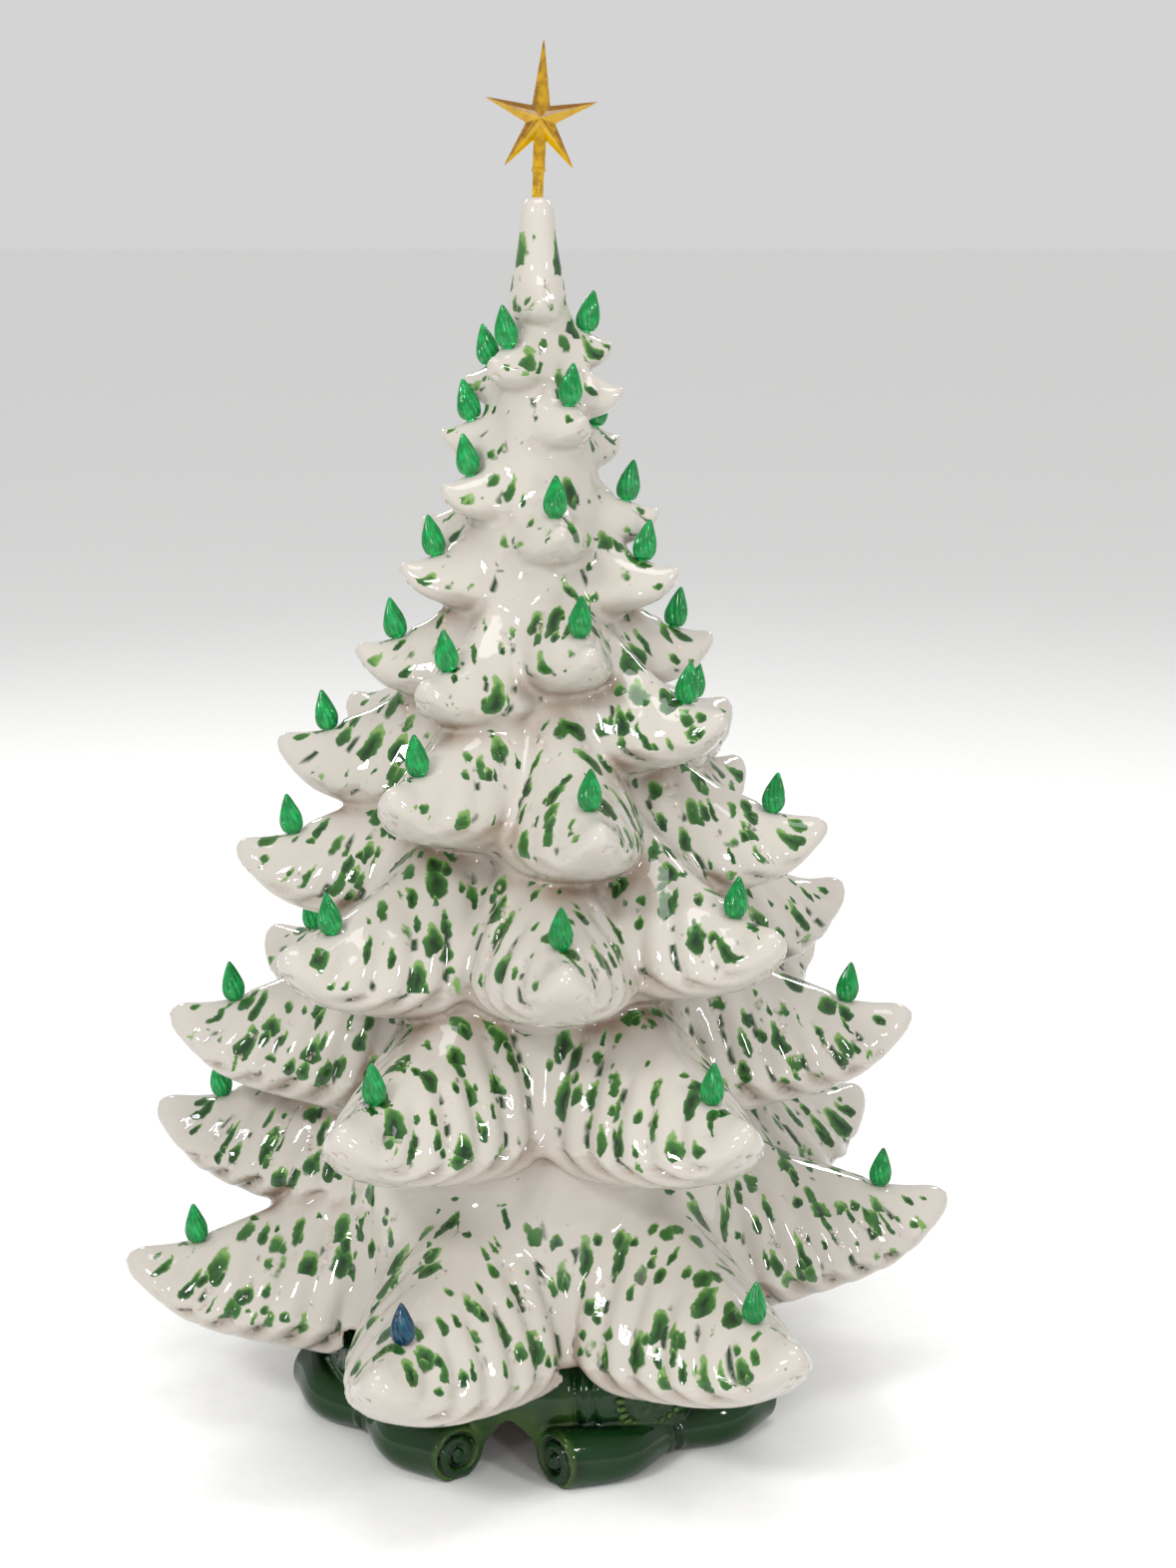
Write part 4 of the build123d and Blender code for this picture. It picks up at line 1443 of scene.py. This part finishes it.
@dataclass
class Lights:
    """The plug-in plastic lights: one moulded drop, made by nodes and set into every hole."""

    height: float = 0.017
    radius: float = 0.005
    flutes: int = 11
    flute_depth: float = 0.15
    twist: float = 1.1
    peg_radius: float = 0.0022
    peg_length: float = 0.008
    peg_overlap: float = 0.0004
    peg_faces: int = 20
    seat_gap: float = 0.0003
    grid: tuple[int, int] = (105, 26)
    weld: float = 1e-5
    sharp: float = 55.0
    blue: str = "light_a2"

    OUTLINE = (
        (0.0, 0.0), (0.10, 0.60), (0.17, 0.80), (0.27, 0.95), (0.36, 1.0), (0.50, 0.90), (0.70, 0.58),
        (0.86, 0.28), (0.95, 0.12), (1.0, 0.0),
    )
    RISE = (
        (0.0, 0.0), (0.10, 0.004), (0.17, 0.05), (0.27, 0.16), (0.36, 0.27), (0.50, 0.45), (0.70, 0.71),
        (0.86, 0.90), (0.95, 0.98), (1.0, 1.0),
    )

    def __post_init__(self) -> None:
        """Finds the seat of every light from its joint and its peg."""
        self.seats: dict[str, Matrix] = {}
        for joint in frame["joints"]:
            node = joint["child"]
            if not node.startswith("light_"):
                continue
            axis = np.array(joint["axis"], float)
            axis /= np.linalg.norm(axis)
            rows = places_of(frame["nodes"][node])
            heights = rows @ axis
            end = rows[heights < heights.min() + 1e-5].mean(axis=0)
            foot = end + axis * (self.peg_length - self.seat_gap)
            turn = Vector(axis).to_track_quat("Z", "Y").to_matrix().to_4x4()
            self.seats[node] = Matrix.Translation(foot) @ turn

    def inputs(self) -> dict[str, float]:
        """The sizes that the node tree of a light is given, by input name."""
        return {
            "Height": self.height, "Radius": self.radius, "Flutes": float(self.flutes),
            "Flute Depth": self.flute_depth, "Twist": self.twist, "Peg Radius": self.peg_radius,
            "Peg Length": self.peg_length,
        }

    def nodes(self) -> Nodes:
        """The node tree of one light.

        Returns:
            The tree, which takes the sizes and a material.
        """
        nodes = Nodes("drop_light", {**dict.fromkeys(self.inputs(), "Float"), "Material": "Material"})
        graph, given = nodes.graph, nodes.given
        inputs = {"Size X": 1.0, "Size Y": 1.0, "Vertices X": self.grid[0], "Vertices Y": self.grid[1]}
        grid = graph.node("GeometryNodeMeshGrid", {}, inputs)
        position = graph.node("GeometryNodeInputPosition")["Position"]
        split = graph.node("ShaderNodeSeparateXYZ", {}, {0: position})
        along = split["Y"] + 0.5
        angle = (split["X"] + 0.5) * (2 * math.pi)
        width = graph.node("ShaderNodeFloatCurve", {"curve": self.OUTLINE}, {"Value": along})["Value"]
        rise = graph.node("ShaderNodeFloatCurve", {"curve": self.RISE}, {"Value": along})["Value"]
        turn = (angle + rise * given["Twist"]) * given["Flutes"]
        wave = graph.node("ShaderNodeMath", {"operation": "SINE"}, {0: turn})["Value"]
        depth = given["Flute Depth"] * rise.eased(0.02, 0.2) * (1 - rise.eased(0.8, 1.0))
        size = width * given["Radius"] * (1 - depth * (wave * 0.5 + 0.5) ** 2.0)
        east = graph.node("ShaderNodeMath", {"operation": "COSINE"}, {0: angle})["Value"]
        north = graph.node("ShaderNodeMath", {"operation": "SINE"}, {0: angle})["Value"]
        inputs = {"X": east * size, "Y": north * size, "Z": rise * given["Height"]}
        place = graph.node("ShaderNodeCombineXYZ", {}, inputs)["Vector"]
        inputs = {"Geometry": grid["Mesh"], "Position": place}
        drop = graph.node("GeometryNodeSetPosition", {}, inputs)["Geometry"]
        # painted light and shade: flute ridges lighter and grooves darker, and the drop lighter near its
        # peg and darker towards its tip; the finish reads this as how deep its colour is
        rib = (wave * 0.5 + 0.5) * (1 - rise.eased(0.75, 1.0)) * 0.7 + rise.eased(0.15, 0.95) * 0.45
        inputs = {"Geometry": drop, "Name": "rib", "Value": rib}
        drop = graph.node("GeometryNodeStoreNamedAttribute", {"data_type": "FLOAT"}, inputs)["Geometry"]
        inputs = {"Geometry": drop, "Distance": self.weld}
        drop = graph.node("GeometryNodeMergeByDistance", {}, inputs)["Geometry"]
        length = given["Peg Length"] + self.peg_overlap
        inputs = {"Vertices": self.peg_faces, "Radius": given["Peg Radius"], "Depth": length}
        peg = graph.node("GeometryNodeMeshCylinder", {}, inputs)["Mesh"]
        down = graph.node("ShaderNodeCombineXYZ", {}, {"Z": length * -0.5 + self.peg_overlap})["Vector"]
        peg = graph.node("GeometryNodeTransform", {}, {"Geometry": peg, "Translation": down})["Geometry"]
        joined = graph.node("GeometryNodeJoinGeometry", {}, {"Geometry": drop})
        graph.tree.links.new(peg.socket, joined.node.inputs[0])
        nodes.close(joined["Geometry"])
        return nodes

    def build(self) -> None:
        """Makes every light."""
        nodes = self.nodes()
        drops = {}
        for slot, paint in (("green_plastic", Paint.GREEN_PLASTIC), ("blue_plastic", Paint.BLUE_PLASTIC)):
            values = {**self.inputs(), "Material": paint.material()}
            drops[slot] = nodes.evaluated(f"source_{paint.value.name}", values)
            smooth(drops[slot].data, self.sharp)
        for node, seat in self.seats.items():
            slot = "blue_plastic" if node == self.blue else "green_plastic"
            mesh = drops[slot].data.copy()
            mesh.transform(seat @ Matrix.Translation((0, 0, self.seat_gap)))
            mesh.name = f"drop_{node}"
            settle(link(mesh.name, mesh), node, slot, node)
        for source in drops.values():
            bpy.data.objects.remove(source)


@dataclass
class Star:
    """The moulded star on its stem."""

    top: float = 0.524
    lean: float = 2.6
    centre: float = 0.0315
    top_point: float = 0.034
    side_point: float = 0.026
    notch: float = 0.0065
    half_thickness: float = 0.005
    stem_radius: float = 0.0029
    pin_radius: float = 0.0023
    pin_above: float = 0.010
    pin_depth: float = 0.0127
    stem_edge: float = 0.0003
    stem_faces: int = 32
    collar_width: float = 0.0016
    bevel: float = 0.0004
    sharp: float = 24.0

    def seat(self) -> Matrix:
        """The star's place on the tree's top."""
        return Matrix.Translation((0, 0, self.top)) @ Matrix.Rotation(math.radians(self.lean), 4, "Y")

    def body(self) -> bmesh.types.BMesh:
        """Five points with a ridge along each, and softened edges."""
        form = bmesh.new()
        ridges = [form.verts.new((0, side * self.half_thickness, self.centre)) for side in (-1, 1)]
        rim = []
        for i in range(10):
            angle = math.radians(90 - 36 * i)
            length = self.notch if i % 2 else self.side_point if i else self.top_point
            length -= 0 if i % 2 else self.bevel
            place = (length * math.cos(angle), 0, self.centre + length * math.sin(angle))
            rim.append(form.verts.new(place))
        for i, first in enumerate(rim):
            second = rim[(i + 1) % 10]
            form.faces.new((ridges[0], second, first))
            form.faces.new((ridges[1], first, second))
        bmesh.ops.recalc_face_normals(form, faces=form.faces[:])
        bmesh.ops.bevel(
            form, geom=form.edges[:], offset=self.bevel, segments=2, profile=0.6, affect="EDGES",
        )
        return form

    def build(self) -> None:
        """Makes the star."""
        form = self.body()
        mesh = bpy.data.meshes.new("moulded_star")
        form.to_mesh(mesh)
        form.free()
        mesh.materials.append(Paint.AMBER_PLASTIC.material())
        piece = link("moulded_star", mesh)
        stem, pin, edge = self.stem_radius, self.pin_radius, self.stem_edge
        low, collar = self.pin_above, self.pin_above + self.collar_width
        outline = [
            (0, -self.pin_depth), (pin - edge, -self.pin_depth), (pin, -self.pin_depth + edge),
            (pin, low), (stem - edge, low), (stem, low + edge), (stem, collar),
            (stem - edge, collar + edge), (stem - edge, self.centre), (0, self.centre),
        ]
        stem_piece = mesh_object("star_stem", *lathe(outline, self.stem_faces, Matrix.Identity(4)))
        carve(piece, stem_piece, "UNION")
        piece.data.transform(self.seat())
        smooth(piece.data, self.sharp)
        # painted shade: facets that face up get a deeper, darker amber and facets that face down a lighter
        # one
        shade = np.clip([0.35 + 0.9 * face.normal.z for face in piece.data.polygons], 0, 1)
        store(piece, "rib", shade, "FACE")
        settle(piece, "star", "amber_plastic", "star_topper")


class Lamp:
    """The lamp set and the cord's bush, which keep the shapes that they were drawn with."""

    PAINTS = {
        "cord_grommet": (Paint.RUBBER, "black_rubber"),
        "lamp_nipple": (Paint.STEEL, "zinc_steel"),
        "nipple_washer": (Paint.STEEL, "zinc_steel"),
        "nipple_nut": (Paint.STEEL, "zinc_steel"),
        "lamp_holder": (Paint.DARK_PLASTIC, "dark_plastic"),
        "holder_shell": (Paint.BRASS, "brass"),
        "holder_contact": (Paint.BRASS, "brass"),
        "lamp_contact": (Paint.SOLDER, "solder"),
        "lamp_cap": (Paint.BRASS, "brass"),
        "lamp_glass": (Paint.GLASS, "frosted_glass"),
    }

    def build(self) -> None:
        """Paints every one of them."""
        for node, (paint, slot) in self.PAINTS.items():
            piece = frame["nodes"][node]
            piece.data.materials.clear()
            piece.data.materials.append(paint.material())
            LOG.info("%s: painted %s", node, paint.value.name)


@dataclass
class Studio:
    """Pale floor, soft light and the camera."""

    floor_size: float = 60.0
    world_strength: float = 0.66
    aim_height: float = 0.28
    camera_place: tuple[float, float, float] = (0.0208, -1.134, 0.522)
    camera_tilt: float = 77.8
    lens: float = 61.8

    PANELS = {
        "window_left": ((-1.0, -1.2, 1.35), (0.12, 0.28), 6.5),
        "window_middle": ((-0.8, -1.32, 1.35), (0.12, 0.28), 6.5),
        "window_right": ((1.2, -1.0, 1.2), (0.13, 0.3), 6.0),
        "low_right": ((0.6, -1.25, 0.42), (0.09, 0.18), 2.4),
        "low_left": ((-0.7, -1.2, 0.38), (0.08, 0.16), 1.6),
        "ceiling": ((0.1, -0.3, 1.7), (0.9, 0.5), 6.0),
        "back_left": ((-0.8, 1.3, 1.2), (0.15, 0.4), 6.0),
        "back_right": ((0.9, 1.2, 1.3), (0.15, 0.4), 5.0),
    }

    def build(self) -> None:
        """Makes the floor, the lights and the camera."""
        half = self.floor_size / 2
        corners = np.array([(-half, -half, 0), (half, -half, 0), (half, half, 0), (-half, half, 0)])
        floor = mesh_object("floor", corners, [[0, 1, 2, 3]], Paint.FLOOR)
        world = bpy.data.worlds.new("studio")
        world.use_nodes = True
        sky = next(node for node in world.node_tree.nodes if node.type == "BACKGROUND")
        sky.inputs["Color"].default_value = (1.0, 1.0, 1.0, 1.0)
        sky.inputs["Strength"].default_value = self.world_strength
        scene = bpy.context.scene
        scene.world = world
        scene.view_settings.view_transform = "Standard"
        for name, (place, size, power) in self.PANELS.items():
            light = bpy.data.lights.new(name, "AREA")
            light.shape = "RECTANGLE"
            light.size, light.size_y = size
            light.energy = power
            panel = link(name, light)
            panel.location = place
            aim = Vector((0, 0, self.aim_height)) - Vector(place)
            panel.rotation_euler = aim.to_track_quat("-Z", "Y").to_euler()
        camera = bpy.data.cameras.new("camera")
        camera.lens = self.lens
        camera.sensor_width = 36.0
        camera.dof.use_dof = False
        eye = link("camera", camera)
        eye.location = self.camera_place
        eye.rotation_euler = (math.radians(self.camera_tilt), 0, 0)
        scene.camera = eye
        LOG.info("studio: %d lights and the camera", len(self.PANELS))


def main() -> None:
    """Builds every piece in order."""
    logging.basicConfig(level=logging.INFO, format="%(message)s")
    lights = Lights()
    star = Star()
    base = Base()
    base.build()
    base.beads()
    Tree().build(list(lights.seats.values()), star.seat())
    lights.build()
    star.build()
    Lamp().build()
    Studio().build()


if __name__ == "__main__":
    main()
